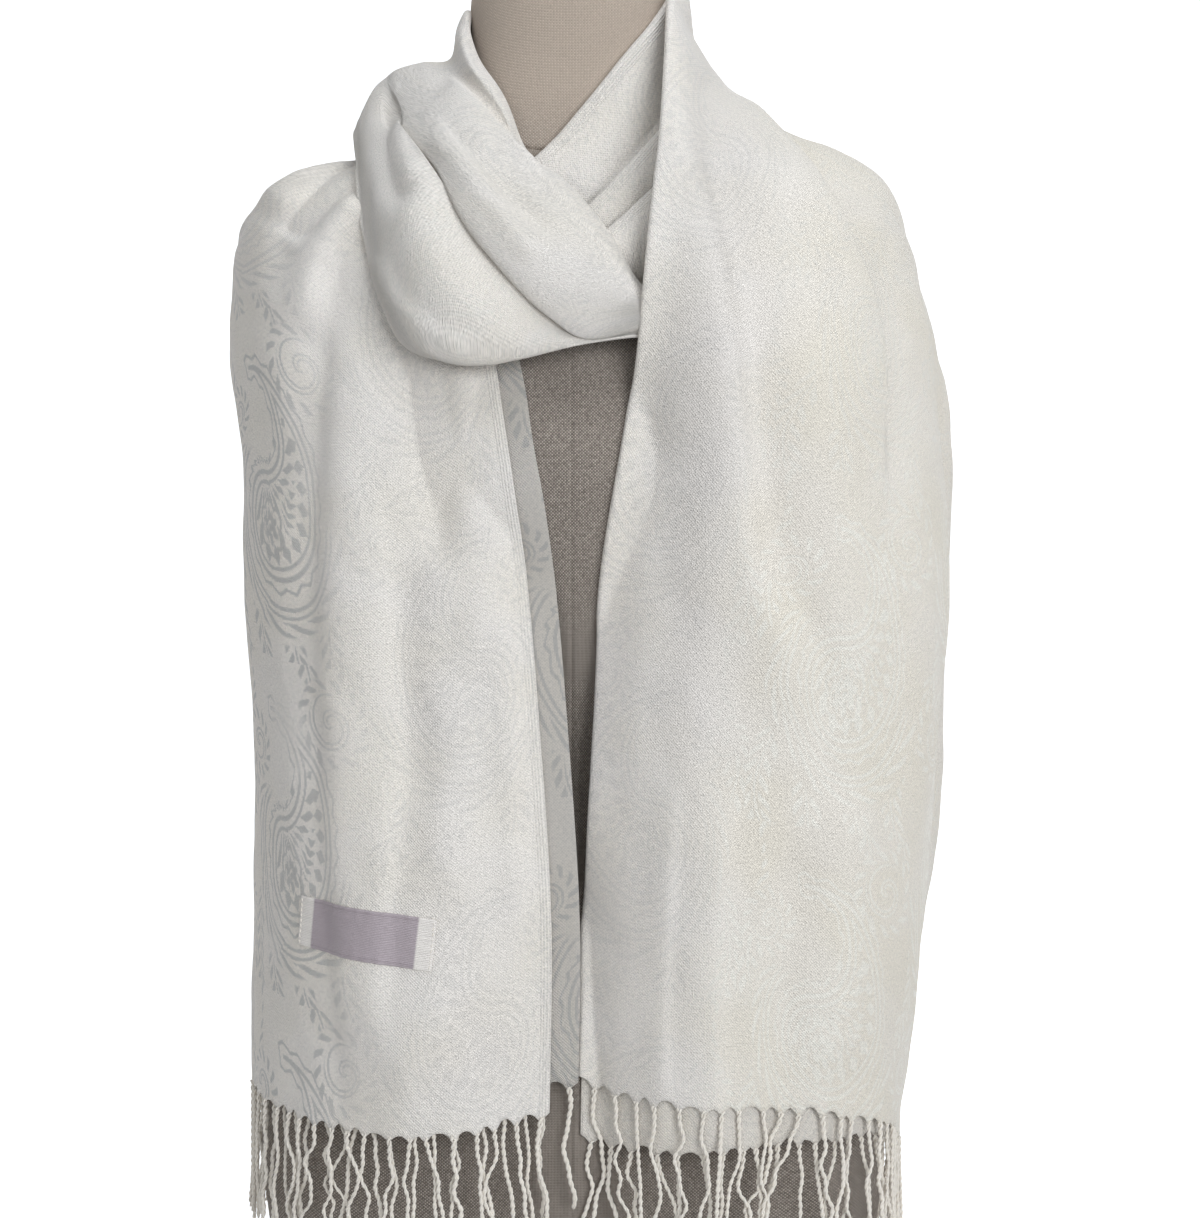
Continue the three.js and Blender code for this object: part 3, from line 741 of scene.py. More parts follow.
def curled_leaf(shader, x, y, size):
    """A curled leaf from three half circles, with a flower in it and plumes below it.

    Returns the figure and how far each place is outside the leaf."""
    stretch = 1.42
    point = shader.point(x, y / stretch)
    whole = shader.distance(point, 0, 0)
    upper = shader.distance(point, 0, size / 2)
    lower = shader.distance(point, 0, -size / 2)
    side = (whole - size).most(size / 2 - upper).most(x * -1)
    inside = side.least(lower - size / 2)
    leaves_round = 24
    turn = x.maths("ARCTAN2", y / stretch) * (leaves_round / (2 * math.pi))
    wave = abs(turn.fraction() - 0.5)
    scallops = (inside - 3.9 - wave * 5.5).line(1.7)
    outlines = inside.line(2.4).most((inside + 4.8).line(1.9)).most(scallops)
    leaf = (wave * 15 + abs(inside + 11) * 1.1 - 5.6).ramp(0.5, -0.5)
    slanting = abs((turn * 1.5 + inside * 0.11).fraction() - 0.5)
    sprig = (slanting * 12 + abs(inside + 21) * 0.9 - 4.4).ramp(0.5, -0.5)
    flower = rosette(shader, point, 2, -size * 0.52, 6, size * 0.27)
    plume = (inside - 13).line(2.0).most((inside - 17).line(1.7))
    barbs = abs((turn * 2.9 + inside * 0.42).sine()).ramp(0.7, 0.86)
    barbs = barbs * inside.ramp(19, 20) * inside.ramp(28, 26)
    below = (y + x * 0.6).ramp(8, -8)
    return outlines.most(leaf).most(sprig).most(flower).most(plume.most(barbs) * below), inside


def branch(across, along):
    """A wavy stem with slanting leaves on both sides."""
    gap = 37.0
    waving = across + (along * (1 / 21)).sine() * 9
    away = abs(((waving / gap).fraction() - 0.5) * gap)
    leaves = abs((along * (math.pi / 12) + away * 0.32).sine()).ramp(0.62, 0.78)
    return away.line(1.7).most(leaves * away.ramp(2.0, 3.2) * away.ramp(11, 9))


def paisley(shader, x, y):
    """The woven figure: a half-drop repeat with every second column of it mirrored."""
    wide, tall = 142.0, 246.0
    leaf_size, leaf_lean = 52.0, 0.13
    scrolls = (((43.0, 84.0), 15.0, 22.0), ((-50.0, 52.0), 13.0, 14.0))
    column = (x / wide).whole()
    odd = column % 2
    across = (x - (column + 0.5) * wide) * (1 - odd * 2)
    along = (y + odd * (tall / 2)) % tall - tall / 2
    point = shader.point(across, along)
    leaf_x = across + 9 + along * leaf_lean
    figure, outside = curled_leaf(shader, leaf_x, along - 8, leaf_size)
    ground = branch(across, along) * outside.ramp(30, 33)
    for place, pitch, reach in scrolls:
        figure = figure.most(scroll(shader, point, *place, pitch, reach))
        ground = ground * shader.distance(point, *place).ramp(reach + 8, reach + 11)
    return figure.most(ground)


def cloth_material(name, pale, deep, light, ivory, shade, thread):
    """Soft ivory cloth with a tone-on-tone paisley woven into it.

    The left end is the first 350 mm across, and the right end and the loop follow it."""
    shader = Shader(name)
    x, y = shader.cloth_place()
    right = x - OUTER_START
    flat = shader.point(x, y)

    # The figure, woven in steps of one thread
    drift = (shader.noise(flat, 0.011, 1.0) - 0.5) * 18
    step, scale = 0.8, 1.25
    stepped_x, stepped_y = (x / step).whole() * step, (y / step).whole() * step
    figure_x = (stepped_x + drift) * scale + 25
    figure_y = (stepped_y + drift * 0.8) * scale + 45
    figure = paisley(shader, figure_x, figure_y)

    # The weave, and the ribs of the selvedge
    bumps = (x * (math.pi / thread)).sine() * (y * (math.pi / thread)).sine()
    dash = shader.noise(shader.point(x * 1.2, y * 0.5), 1.0, 0.0)
    weft = shader.noise(shader.point(x * 0.45, (y + drift * 0.6) * 1.1), 1.0, 0.0)
    grain = dash + weft - 1
    rib_width = 1.6
    selvedge = x.ramp(6.5, 5.5)
    rib = (x * (2 * math.pi / rib_width)).sine() * selvedge

    # Where the figure is painted darker (painted shade) or lighter (painted sheen), where the cloth
    # is warmer, and where painted shade darkens the cloth
    tone = shader.noise(flat, 0.016, 2.0)
    # Painted shade: the figure drawn darker on the left end's outer side, where the cloth turns away
    # from the light
    painted_figure_shade = x.ramp(100, 140) * x.ramp(352, 338) * y.ramp(520, 430)
    # Painted sheen: the figure drawn lighter on the right end's outer part, where the light catches
    # it
    sheen_painted_on_figure = right.ramp(50, 90) * right.ramp(300, 260) * (y.ramp(430, 300) * 0.6 + 0.4)
    hanging = y.ramp(740, 640)
    # Painted shade beside the fold of the right end's inner edge, and on the left under layer's
    # visible edge, which also reaches the right end's outer back edge
    painted_shade_by_fold = right.ramp(2, 22) * right.ramp(80, 35) * hanging
    shaded = painted_shade_by_fold.most(right.ramp(250, 320))
    # The visible strip of the left under layer: painted shade beside the front layer's edge, and a
    # coarser weave in the bump
    strip = x.ramp(664, 676) * x.ramp(702, 700.5)
    warm = tone.ramp(0.35, 0.65) * 0.35 + right.ramp(50, 100) * hanging * 0.5

    base = shader.mixed(warm, pale, ivory)
    # Painted shade mixed in beside the right end's fold and over the left under layer's strip
    base = shader.mixed(shaded * 0.4 + strip * 0.16, base, shade)
    # The figure's own slightly darker tone, with painted shade added on the left end's outer side
    # and on the under layer's strip
    figure_tone_and_shade = (painted_figure_shade * 0.55 + strip * 0.4 + 0.17) * tone.ramp(0.2, 0.42)
    base = shader.mixed(figure * figure_tone_and_shade, base, deep)
    # Painted sheen on the figure of the right end
    base = shader.mixed(figure * sheen_painted_on_figure * 0.6, base, light)
    between_threads = (*[part * 0.66 for part in deep[:3]], 1)
    base = shader.mixed(bumps * 0.12 - grain * 0.34 + rib * 0.1 + 0.14, base, between_threads)
    height = bumps * (strip + 0.5) + dash * 1.3 + weft * 1.5 + rib * 0.5 + selvedge * 0.4
    return shader.finish({
        "Base Color": base, "Roughness": 0.86 - figure * 0.3, "Normal": shader.bump(height, 0.0003),
        "Sheen Weight": 0.2, "Sheen Roughness": 0.45, "Specular IOR Level": 0.35,
    })


def yarn_material(name, pale, ivory):
    """Twisted yarn of the fringe."""
    shader = Shader(name)
    x, y = shader.cloth_place()
    hair = shader.noise(shader.point(x * 2.2, y * 0.5), 1.0, 3.0)
    base = shader.mixed(hair.ramp(0.25, 0.75), pale, ivory)
    return shader.finish({
        "Base Color": base, "Roughness": 0.85, "Normal": shader.bump(hair, 0.0003),
        "Sheen Weight": 0.3, "Sheen Roughness": 0.5, "Specular IOR Level": 0.3,
    })


def linen_material(name, pale, deep, faded, thread):
    """Coarse plain linen, its threads over and under each other, warm and faded at the neck."""
    shader = Shader(name)
    x, y = shader.cloth_place()
    column, row = (x / thread).whole(), (y / thread).whole()
    bumps = (x * (math.pi / thread)).sine() * (y * (math.pi / thread)).sine()
    over = bumps.ramp(0.0, 0.5) * (shader.chance(column * 57 + row) * 0.6 + 0.4)
    tone = shader.noise(shader.point(x, y), 0.03, 2.0)
    speck = shader.noise(shader.point(x * 0.5, y * 0.5), 1.0, 2.0)
    base = shader.mixed(over * 0.95 + (speck - 0.5) * 0.9 + (tone - 0.5) * 0.25 + 0.1, deep, pale)
    base = shader.mixed(y.ramp(650, 735) * 0.66, base, faded)
    height = abs(bumps) + speck * 0.7
    return shader.finish({
        "Base Color": base, "Roughness": 0.92, "Normal": shader.bump(height, 0.0004),
        "Sheen Weight": 0.1, "Specular IOR Level": 0.25,
    })


def satin_material(name, ground, ends):
    """The label's ribbon: a shaded middle between paler woven ends."""
    shader = Shader(name)
    x, y = shader.cloth_place()
    thread, row_height, border_place = 0.7, 0.9, 11.9
    dark_thread = (0.3, 0.24, 0.26, 1)
    warp, weft = (shader.chance((place / thread).whole()) for place in (x, y))
    middle = abs(x).ramp(32.5, 31.0)
    rows = (y * (2 * math.pi / row_height)).sine()
    border = (abs(y) - border_place).line(1.0) * middle
    base = shader.mixed(middle, ends, ground)
    base = shader.mixed(border * 0.35 + (weft - 0.5) * 0.12 + 0.05, base, dark_thread)
    relief = shader.bump(rows + warp * 0.6, 0.00012)
    return shader.finish({
        "Base Color": base, "Roughness": 0.62 - middle * 0.18, "Normal": relief,
        "Sheen Weight": 0.15, "Specular IOR Level": 0.45,
    })


# ---------------------------------------------------------------------------------------------
# Pieces
# ---------------------------------------------------------------------------------------------

def settings():
    return bpy.context.scene.shawl_settings


def material(slot):
    """The finish of one of the record's slots, made when it is first asked for."""
    name = slot + "_finish"
    if name in bpy.data.materials:
        return bpy.data.materials[name]
    makers = {
        "shawl_cloth": (cloth_material, ("pale", "figure", "painted_sheen", "ivory", "shade"), "thread"),
        "fringe_yarn": (yarn_material, ("pale", "ivory"), None),
        "form_linen": (linen_material, ("linen_pale", "linen_deep", "linen_faded"), "linen_thread"),
        "label_satin": (satin_material, ("label", "pale"), None),
    }
    maker, colours, thread = makers[slot]
    chosen = settings()
    threads = [getattr(chosen, thread) / MM] if thread else []
    return maker(name, *((*getattr(chosen, each), 1) for each in colours), *threads)


def settle(made, slot, *nodes):
    """Gives a piece its finish and its body, and hides the solid parts that it stands for."""
    made.data.materials.append(material(slot))
    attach(made, "root")
    if nodes:
        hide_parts(*nodes)
    return made


def inner_net(hem):
    return net_of(LEFT_RINGS, -1, INNER_STATIONS, INNER_COLUMNS, HEMS[hem])


def outer_net(hem):
    return net_of(RIGHT_RINGS, 1, OUTER_STATIONS, OUTER_COLUMNS, HEMS[hem])


def fringe(name, cloth, seed):
    """Twisted two-strand cords that hang from the points of a hem."""
    chosen = settings()
    spacing, length = chosen.cord_spacing / MM, chosen.cord_length / MM
    draw = np.random.default_rng(seed)
    hem, places = cloth.grid[0], cloth.across[0]
    out = normals_of(cloth.grid)[0]
    sides, rings, strands, one_twist = 6, 40, 2, 8.5
    run = np.linspace(0, 1, rings)
    ring_turn = np.linspace(0, 2 * math.pi, sides, endpoint=False)
    points, faces, flat = [], [], []

    def swung(turns, phase):
        return np.sin(2 * math.pi * turns * run + phase)

    for k, place in enumerate(cord_places(places[-1], spacing, seed)):
        start = np.array([np.interp(place, places, hem[:, axis]) for axis in range(3)])
        outward = np.array([np.interp(place, places, out[:, axis]) for axis in range(3)])
        outward = outward * (1, 1, 0) / np.linalg.norm(outward[:2])
        sideways = np.array([-outward[1], outward[0], 0])
        lean, sway = draw.normal(0, 6), draw.normal(0, 2.6)
        phase, bend = draw.uniform(0, 6.3), draw.uniform(0.9, 2.2)
        lean *= draw.choice((1.0, 2.4), p=(0.7, 0.3))
        long = length * draw.uniform(0.82, 1.0)
        ease = np.minimum(1, 3 * run)
        side_move = lean * run**1.2 + sway * swung(bend, phase) * ease
        side_move += draw.normal(0, 0.8) * swung(3.7, 2 * phase) * ease
        deep_move = draw.normal(0, 1.6) * swung(0.8, phase) * run
        deep_move += draw.uniform(-0.8, 1.6) * run
        drop = np.sqrt(np.maximum(1 - (lean / long * 0.8) ** 2, 0.5)) * long
        middle = start + sideways * side_move[:, None] + outward * deep_move[:, None]
        middle[:, 2] += 1.2 - run * drop
        thick = chosen.cord_width / MM / 2 * draw.uniform(0.88, 1.12)
        twist = 2 * math.pi * long / one_twist
        along = np.broadcast_to((run * long)[:, None], (rings, sides))
        around = np.broadcast_to(np.arange(sides) * 1.1 + k * 7.0, (rings, sides))
        for strand in range(strands):
            angle = run * twist + strand * math.pi + phase
            offset = thick * 0.5 * (1 + 1.1 * np.exp(-run * 16))
            centre = middle + sideways * (offset * np.cos(angle))[:, None]
            centre = centre + outward * (offset * np.sin(angle) * 0.8)[:, None]
            taper = thick * 0.62 * np.minimum(1, (1.02 - run) * 14) ** 0.5
            ring = sideways * np.cos(ring_turn)[:, None] + outward * np.sin(ring_turn)[:, None]
            tube = centre[:, None] + ring[None] * taper[:, None, None]
            faces += tube_faces(rings, sides, sum(map(len, points)))
            points.append(tube.reshape(-1, 3))
            flat.append(np.stack([around, along], axis=-1).reshape(-1, 2))
    made = new_object(name, np.concatenate(points), faces, np.concatenate(flat))
    return settle(made, "fringe_yarn")


def flat_coordinates(cloth, start, direction=1):
    """The cloth with its place across the woven figure counted from a start, or back from it."""
    return Cloth(cloth.grid, cloth.along, start + direction * cloth.across)


def eased_off(cloth, heights, layers=1):
    """The cloth lifted by its folds and waves, and still clear of the form and the layers below."""
    lifted = cloth.lifted(heights)
    clearance = LEAST_CLEARANCE + layers * LAYER_STEP * smooth_step(670, 600, lifted.grid[..., 2])
    grid = smooth_sides(clear_of_form(lifted.grid, clearance), 6, 12)
    return Cloth(grid, lifted.along, lifted.across)


def turned_in(cloth, reach, depth):
    """How far the cloth falls away beside the fold at its inner edge, below the throat."""
    below = smooth_step(565, 510, cloth.grid[..., 2])
    return -depth * np.clip(1 - cloth.across / reach, 0, 1) ** 2 * below


def inner_front():
    """The inner stretch: the left end, over the shoulder and on round the nape."""
    net = inner_net("left_front")
    low = even_places(net, 2, 0, OUTER_SPLIT, 2.6)
    high = even_places(net, 2, OUTER_SPLIT, INNER_END, 3.2)
    across = np.linspace(0, INNER_COLUMNS - 1, 156)
    cloth = cloth_on(net, np.concatenate([low, high[1:]]), across, INNER_CLEARANCE)
    heights = wave_heights(cloth.along, cloth.across) * 0.6 + fold_heights(cloth.grid, "left")
    return scalloped(eased_off(cloth, heights), settings().cord_spacing / MM, 11), len(low)


def outer_front():
    """The outer stretch: the right end, over the shoulder, round the nape and across the throat."""
    net = outer_net("right_front")
    low = even_places(net, 4, 0, OUTER_SPLIT, 3.3)
    back = even_places(net, 4, OUTER_SPLIT, LOOP_SPLIT, 3.0)
    loop = even_places(net, 4, LOOP_SPLIT, LOOP_END, 2.2)
    along = np.concatenate([low, back[1:], loop[1:]])
    across = np.linspace(0, OUTER_COLUMNS - 1, 168)

    def share(places, values):
        return np.interp(along, places, values)[:, None]

    # Closer to the left side of the neck, and closest along the upper edge there
    clearance = share((9, 9.6, LOOP_SPLIT), (OUTER_CLEARANCE, 7.0, LOOP_CLEARANCE))
    beside_neck = (smooth_step(9.6, 10.6, along) * smooth_step(12.6, 11.4, along))[:, None]
    close = smooth_step(1.4, 0, across) * beside_neck
    clearance = clearance + (2.4 - clearance) * close
    cloth = cloth_on(net, along, across, clearance)

    # Each table of folds fades in and out along the stretch, and the loop's lower roll stands out
    heights = wave_heights(cloth.along, cloth.across) * share((UNDER_TOP, OUTER_SPLIT), (0.6, 0.25))
    heights += turned_in(cloth, 27, 7.5)
    heights += fold_heights(cloth.grid, "right") * share((OUTER_SPLIT, 9), (1, 0))
    heights += fold_heights(cloth.grid, "nape") * share((7.2, 8), (0, 1))
    heights += fold_heights(cloth.grid, "loop") * share((10.5, 12, 15.5, 17.5), (0, 1, 1, 0))
    bulge = 12 * smooth_step(4.5, 5.2, across) * smooth_step(7.3, 5.5, across)
    heights += bulge * share((11.6, 13, 15.5, 17.5), (0, 1, 1, 0))
    cloth = scalloped(eased_off(cloth, heights), settings().cord_spacing / MM, 21)
    return cloth, len(low), len(low) + len(back) - 1


def under_cloth(net, clearance, shown, side, seed):
    """The under layer of an end, a step in from its front layer."""
    along = even_places(net, 2, 0, UNDER_TOP, 3.8)
    across = np.linspace(0, net.shape[1] - 1, 106) - shown
    cloth = cloth_on(net, along, across, clearance)
    heights = wave_heights(cloth.along, cloth.across) * 0.2 - LAYER_STEP
    heights += fold_heights(cloth.grid, side)
    if side == "right":
        heights += turned_in(cloth, 30, 9.5)
    return scalloped(eased_off(cloth, heights, 0), settings().cord_spacing / MM, seed)


class SHAWL_OT_left_end(bpy.types.Operator):
    """Builds the left end's two layers, its way round the nape, its fringe and its label"""

    bl_idname = "shawl.left_end"
    bl_label = "Left end"

    def execute(self, context):
        thickness = settings().thickness / MM
        cloth, split = inner_front()
        front = rolled(cloth.rows(0, split), at_start=False)
        end = settle(shell("shawl_left_end", front, thickness), "shawl_cloth", "end_left_front")
        back = rolled(cloth.rows(split - 1, None))
        nape = settle(shell("shawl_nape_inner", back, thickness), "shawl_cloth", "back_inner")
        under = under_cloth(inner_net("left_under"), INNER_CLEARANCE, UNDER_SHOWS, "left", 12)
        flat = flat_coordinates(under, UNDER_LEFT_START, -1)
        layer = settle(shell("shawl_left_under", flat, thickness), "shawl_cloth", "end_left_under")
        cords = settle_fringe("fringe_cords_left", cloth, 11, "fringe_left_front")
        under_cords = settle_fringe("fringe_cords_left_under", under, 12, "fringe_left_under")
        patch, stitches = label_on(cloth)
        return {"FINISHED"}


class SHAWL_OT_right_end(bpy.types.Operator):
    """Builds the right end's two layers, its way round the nape, the loop and its fringe"""

    bl_idname = "shawl.right_end"
    bl_label = "Right end and loop"

    def execute(self, context):
        thickness = settings().thickness / MM
        cloth, split, turn = outer_front()
        flat = rolled(flat_coordinates(cloth, OUTER_START))
        front, back = flat.rows(0, split), flat.rows(split - 1, turn)
        round_neck = flat.rows(turn - 1, None)
        end = settle(shell("shawl_right_end", front, thickness), "shawl_cloth", "end_right_front")
        nape = settle(shell("shawl_nape_outer", back, thickness), "shawl_cloth", "back_outer")
        loop = settle(shell("shawl_loop", round_neck, thickness), "shawl_cloth", "loop_left")
        under = under_cloth(outer_net("right_under"), OUTER_CLEARANCE, 0, "right", 22)
        flat = flat_coordinates(under, UNDER_RIGHT_START, -1)
        layer = shell("shawl_right_under", flat, thickness)
        layer = settle(layer, "shawl_cloth", "end_right_under")
        cords = settle_fringe("fringe_cords_right", cloth, 21, "fringe_right_front")
        under_cords = settle_fringe("fringe_cords_right_under", under, 22, "fringe_right_under")
        return {"FINISHED"}


def settle_fringe(name, cloth, seed, node):
    made = fringe(name, cloth, seed)
    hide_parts(node)
    return made


def pleat_cloth(clearance, edge, foot):
    """One pleat: full between its soft upper edge and its foot."""
    rows, columns = 90, 60
    edge_line, foot_line = respaced(edge, rows), respaced(foot, rows)
    share = np.linspace(0, 1, columns)[None, :, None]
    grid = edge_line[:, None] * (1 - share) + foot_line[:, None] * share
    cloth = Cloth.measured(relaxed(clear_of_form(grid, clearance), 2))
    round_edge = np.sin(math.pi * np.minimum(0.3 + share[..., 0], 1)) ** 0.7
    fullness = (clearance * 1.2 + 2) * round_edge * np.ones((rows, 1))
    return cloth.lifted(fullness + 0.35 * wave_heights(cloth.along, cloth.across))


class SHAWL_OT_pleats(bpy.types.Operator):
    """Builds the stepped pleats that rise from the throat to the right side of the neck"""

    bl_idname = "shawl.pleats"
    bl_label = "Pleats"

    def execute(self, context):
        thickness = settings().thickness / MM
        for name, node, clearance, flat, edge, foot in PLEATS:
            cloth = rolled(pleat_cloth(clearance, edge, foot), at_end=False, bend=3.0)
            made = settle(shell(name, cloth, thickness), "shawl_cloth", node)
        return {"FINISHED"}


def on_cloth(cloth, along, across, lift):
    """Points at given lengths of a cloth, lifted off it."""
    rows, columns = cloth.along.shape
    row = np.interp(along, cloth.along[:, columns // 2], np.arange(rows))
    column = np.interp(across, cloth.across[int(np.median(row))], np.arange(columns))
    low_row, low_column = np.floor(row).astype(int), np.floor(column).astype(int)
    part_row, part_column = (row - low_row)[..., None], (column - low_column)[..., None]

    def sampled(values):
        first, second = (
            values[at, low_column] * (1 - part_column) + values[at, low_column + 1] * part_column
            for at in (low_row, low_row + 1))
        return first * (1 - part_row) + second * part_row

    return sampled(cloth.grid) + sampled(normals_of(cloth.grid)) * lift


def label_on(cloth):
    """The bare sewn label on the left end, with the stitches along its two short ends."""
    centre = np.array((LABEL_LOW + LABEL_HIGH) / 2) / MM
    away = np.linalg.norm(cloth.grid - centre, axis=-1)
    row, column = np.unravel_index(np.argmin(away), away.shape)
    middle_along = cloth.along[row, cloth.along.shape[1] // 2]
    middle_across = cloth.across[row, column]
    chosen = settings()
    width, height, tilt = chosen.label_width / MM, chosen.label_height / MM, chosen.label_tilt
    thickness = 0.5
    lift = chosen.thickness / MM / 2 + thickness

    def placed(a, b, above):
        along = middle_along + b * math.cos(tilt) + a * math.sin(tilt)
        across = middle_across + a * math.cos(tilt) - b * math.sin(tilt)
        return on_cloth(cloth, along, across, above)

    a, b = np.meshgrid(
        np.linspace(-width / 2, width / 2, 84), np.linspace(-height / 2, height / 2, 28))
    pucker = 0.22 * np.sin(a * 0.9) * np.abs(b / (height / 2)) ** 3
    patch_cloth = Cloth(placed(a, b, (lift + pucker)[..., None]), b, a)
    patch = settle(shell("label_ribbon", patch_cloth, thickness), "label_satin", "label")
    points, faces, flat = [], [], []
    sides, rings, step = 6, 5, 2.9
    for side in (-1, 1):
        for k in range(int(height / step)):
            run = np.linspace(-1, 1, rings)
            centre_b = -height / 2 + (k + 0.6) * step + run * 1.0
            centre_a = side * (width / 2 - 1.3) + run * 0.25 * side
            line = placed(centre_a, centre_b, (lift + 0.35 + 0.15 * (1 - run**2))[:, None])
            thick = 0.34 * np.sqrt(np.maximum(1 - (run * 0.93) ** 2, 0.02))
            turn = np.linspace(0, 2 * math.pi, sides, endpoint=False)
            ring = np.stack([np.cos(turn), np.sin(turn), 0 * turn], axis=-1)
            tube = line[:, None] + ring[None] * thick[:, None, None]
            faces += tube_faces(rings, sides, sum(map(len, points)))
            points.append(tube.reshape(-1, 3))
            flat.append(np.zeros((rings * sides, 2)) + k)
    made = new_object("label_stitches", np.concatenate(points), faces, np.concatenate(flat))
    return patch, settle(made, "fringe_yarn")


def neck_seam(angle):
    return NECK_SEAM_BACK + (NECK_SEAM_FRONT - NECK_SEAM_BACK) * (1 + np.cos(angle)) / 2


def form_piece(name, heights, seams, node):
    """A closed cover of the form, with sewn seams let into it."""
    spread = np.linspace(0, 2 * math.pi, 144, endpoint=False)
    beside = np.radians((-2.2, -1.5, -1.0, -0.6, -0.3, 0, 0.3, 0.6, 1.0, 1.5, 2.2))
    angle = np.concatenate([spread, *(np.radians(seam) + beside for seam in seams)])
    angle = np.unique(np.round((angle + math.pi) % (2 * math.pi), 5)) - math.pi
    z = heights(angle)
    angle = np.broadcast_to(angle, z.shape)
    ring = ring_at(FORM_RINGS, z)
    reach = radius(ring, angle, FORM_ROUNDNESS)
    sunk = np.zeros_like(reach)
    for seam in seams:
        away = np.abs((angle - math.radians(seam) + math.pi) % (2 * math.pi) - math.pi) * reach
        sunk += 0.8 * np.exp(-(away / 0.7) ** 2) - 0.25 * np.exp(-((away - 2.6) / 1.4) ** 2)
    from_seam = np.abs(z - neck_seam(angle))
    sunk += 0.9 * np.exp(-(from_seam / 0.8) ** 2) - 0.25 * np.exp(-((from_seam - 3.0) / 1.5) ** 2)
    low, high = FORM_LOW.z / MM, FORM_HIGH.z / MM
    edge = 5.0
    for away in (z - low, high - z):
        inset = np.clip(1 - away / edge, 0, 1)
        sunk += edge * (1 - np.sqrt(1 - inset**2))
    reach = reach - sunk
    grid = np.stack([reach * np.sin(angle), -reach * np.cos(angle), z], axis=-1)
    flat = np.stack([angle * reach.mean(), z], axis=-1)

    # Flat ends of narrowing rings, their weave laid straight across and away from the sides'
    shares_in = np.array((0.985, 0.85, 0.6, 0.3, 0.05))[:, None, None]
    narrowed = shares_in * (1, 1, 0) + (0, 0, 1)
    foot, top = grid[:1] * narrowed[::-1], grid[-1:] * narrowed
    foot_flat, top_flat = foot[..., :2] + (0, low - 200), top[..., :2] + (0, high + 100)
    grid = np.concatenate([foot, grid, top])
    flat = np.concatenate([foot_flat, flat, top_flat])
    faces = tube_faces(*grid.shape[:2])
    made = new_object(name, grid.reshape(-1, 3), faces, flat.reshape(-1, 2))
    return settle(made, "form_linen", node)


class SHAWL_OT_dress_form(bpy.types.Operator):
    """Builds the linen cover of the form's torso and of its neck"""

    bl_idname = "shawl.dress_form"
    bl_label = "Dress form"

    def execute(self, context):
        low, high = FORM_LOW.z / MM, FORM_HIGH.z / MM
        shoulder = 660

        def torso(angle):
            foot = low + np.array((0, 0.2, 0.8, 1.8, 3.2, 5.0))
            level = np.concatenate([foot, np.linspace(8, shoulder, 112)])[:, None] + 0 * angle
            seam = neck_seam(angle)
            share = 1 - (1 - np.linspace(0, 1, 44)[1:, None]) ** 1.7
            return np.concatenate([level, shoulder + (seam - shoulder) * share])

        def neck(angle):
            seam = neck_seam(angle)
            share = np.linspace(0, 1, 50)[:, None] ** 1.5
            crown = high - np.array((5.0, 3.2, 1.8, 0.8, 0.2, 0))[:, None] + 0 * angle
            return np.concatenate([seam + (high - 5.5 - seam) * share, crown])

        form_piece("form_cover", torso, (0, 90, 180, 270), "form_torso")
        form_piece("neck_cover", neck, (180,), "form_neck")
        return {"FINISHED"}


class SHAWL_OT_stage(bpy.types.Operator):
    """Builds the plain floor, its curved backdrop, the soft lights and the camera"""

    bl_idname = "shawl.stage"
    bl_label = "Stage"

    def execute(self, context):
        chosen = settings()
        wide, front, back, bend, top = 5.0, -4.0, 2.6, 1.0, 5.0
        turns = np.radians(np.linspace(0, 90, 19))
        curve = [(front, 0.0)]
        curve += [(back + bend * math.sin(t), bend * (1 - math.cos(t))) for t in turns]
        curve.append((back + bend, top))
        points = [(side * wide / MM, y / MM, z / MM) for y, z in curve for side in (-1, 1)]
        faces = [(2 * k, 2 * k + 1, 2 * k + 3, 2 * k + 2) for k in range(len(curve) - 1)]
        floor = new_object("studio_floor", np.array(points), faces, np.zeros((len(points), 2)))
        shader = Shader("pale_floor")
        depth = shader.parts(shader.node("ShaderNodeNewGeometry"))[1]
        glow = shader.mixed(depth.ramp(-0.15, 0.25), (0, 0, 0, 1), (1, 1, 1, 1))
        floor.data.materials.append(shader.finish({
            "Base Color": (0.8, 0.8, 0.8, 1), "Roughness": 0.9, "Specular IOR Level": 0.1,
            "Emission Color": glow, "Emission Strength": chosen.floor_glow,
        }))
        for name, energy, size, place, tint in (
            ("key", chosen.key, 1.6, (1.5, -2.5, 1.05), (0.91, 0.95, 1.0)),
            ("side", chosen.side, 1.2, (2.2, -0.7, 1.1), (0.9, 0.95, 1.0)),
            ("fill", chosen.fill, 1.4, (-0.9, -2.4, 1.0), (0.91, 0.95, 1.0)),
            ("top", chosen.top, 1.2, (0.1, -0.5, 2.3), (0.9, 0.95, 1.0)),
        ):
            data = bpy.data.lights.new(name, "AREA")
            data.energy, data.size, data.color = energy, size, tint
            lamp = bpy.data.objects.new(name, data)
            lamp.location = place
            lamp.rotation_mode = "QUATERNION"
            towards_cloth = Vector((0, 0, 0.5)) - Vector(place)
            lamp.rotation_quaternion = towards_cloth.to_track_quat("-Z", "Y")
            context.scene.collection.objects.link(lamp)
        world = bpy.data.worlds.new("soft_room")
        world.use_nodes = True
        background = world.node_tree.nodes["Background"]
        background.inputs["Color"].default_value = (0.9, 0.95, 1, 1)
        background.inputs["Strength"].default_value = chosen.room
        context.scene.world = world
        context.scene.view_settings.view_transform = "Standard"
        data = bpy.data.cameras.new("camera")
        data.lens = chosen.lens
        camera = bpy.data.objects.new("camera", data)
        camera.location = chosen.camera_place
        camera.rotation_euler = (math.pi / 2, 0, 0)
        context.scene.collection.objects.link(camera)
        context.scene.camera = camera
        return {"FINISHED"}


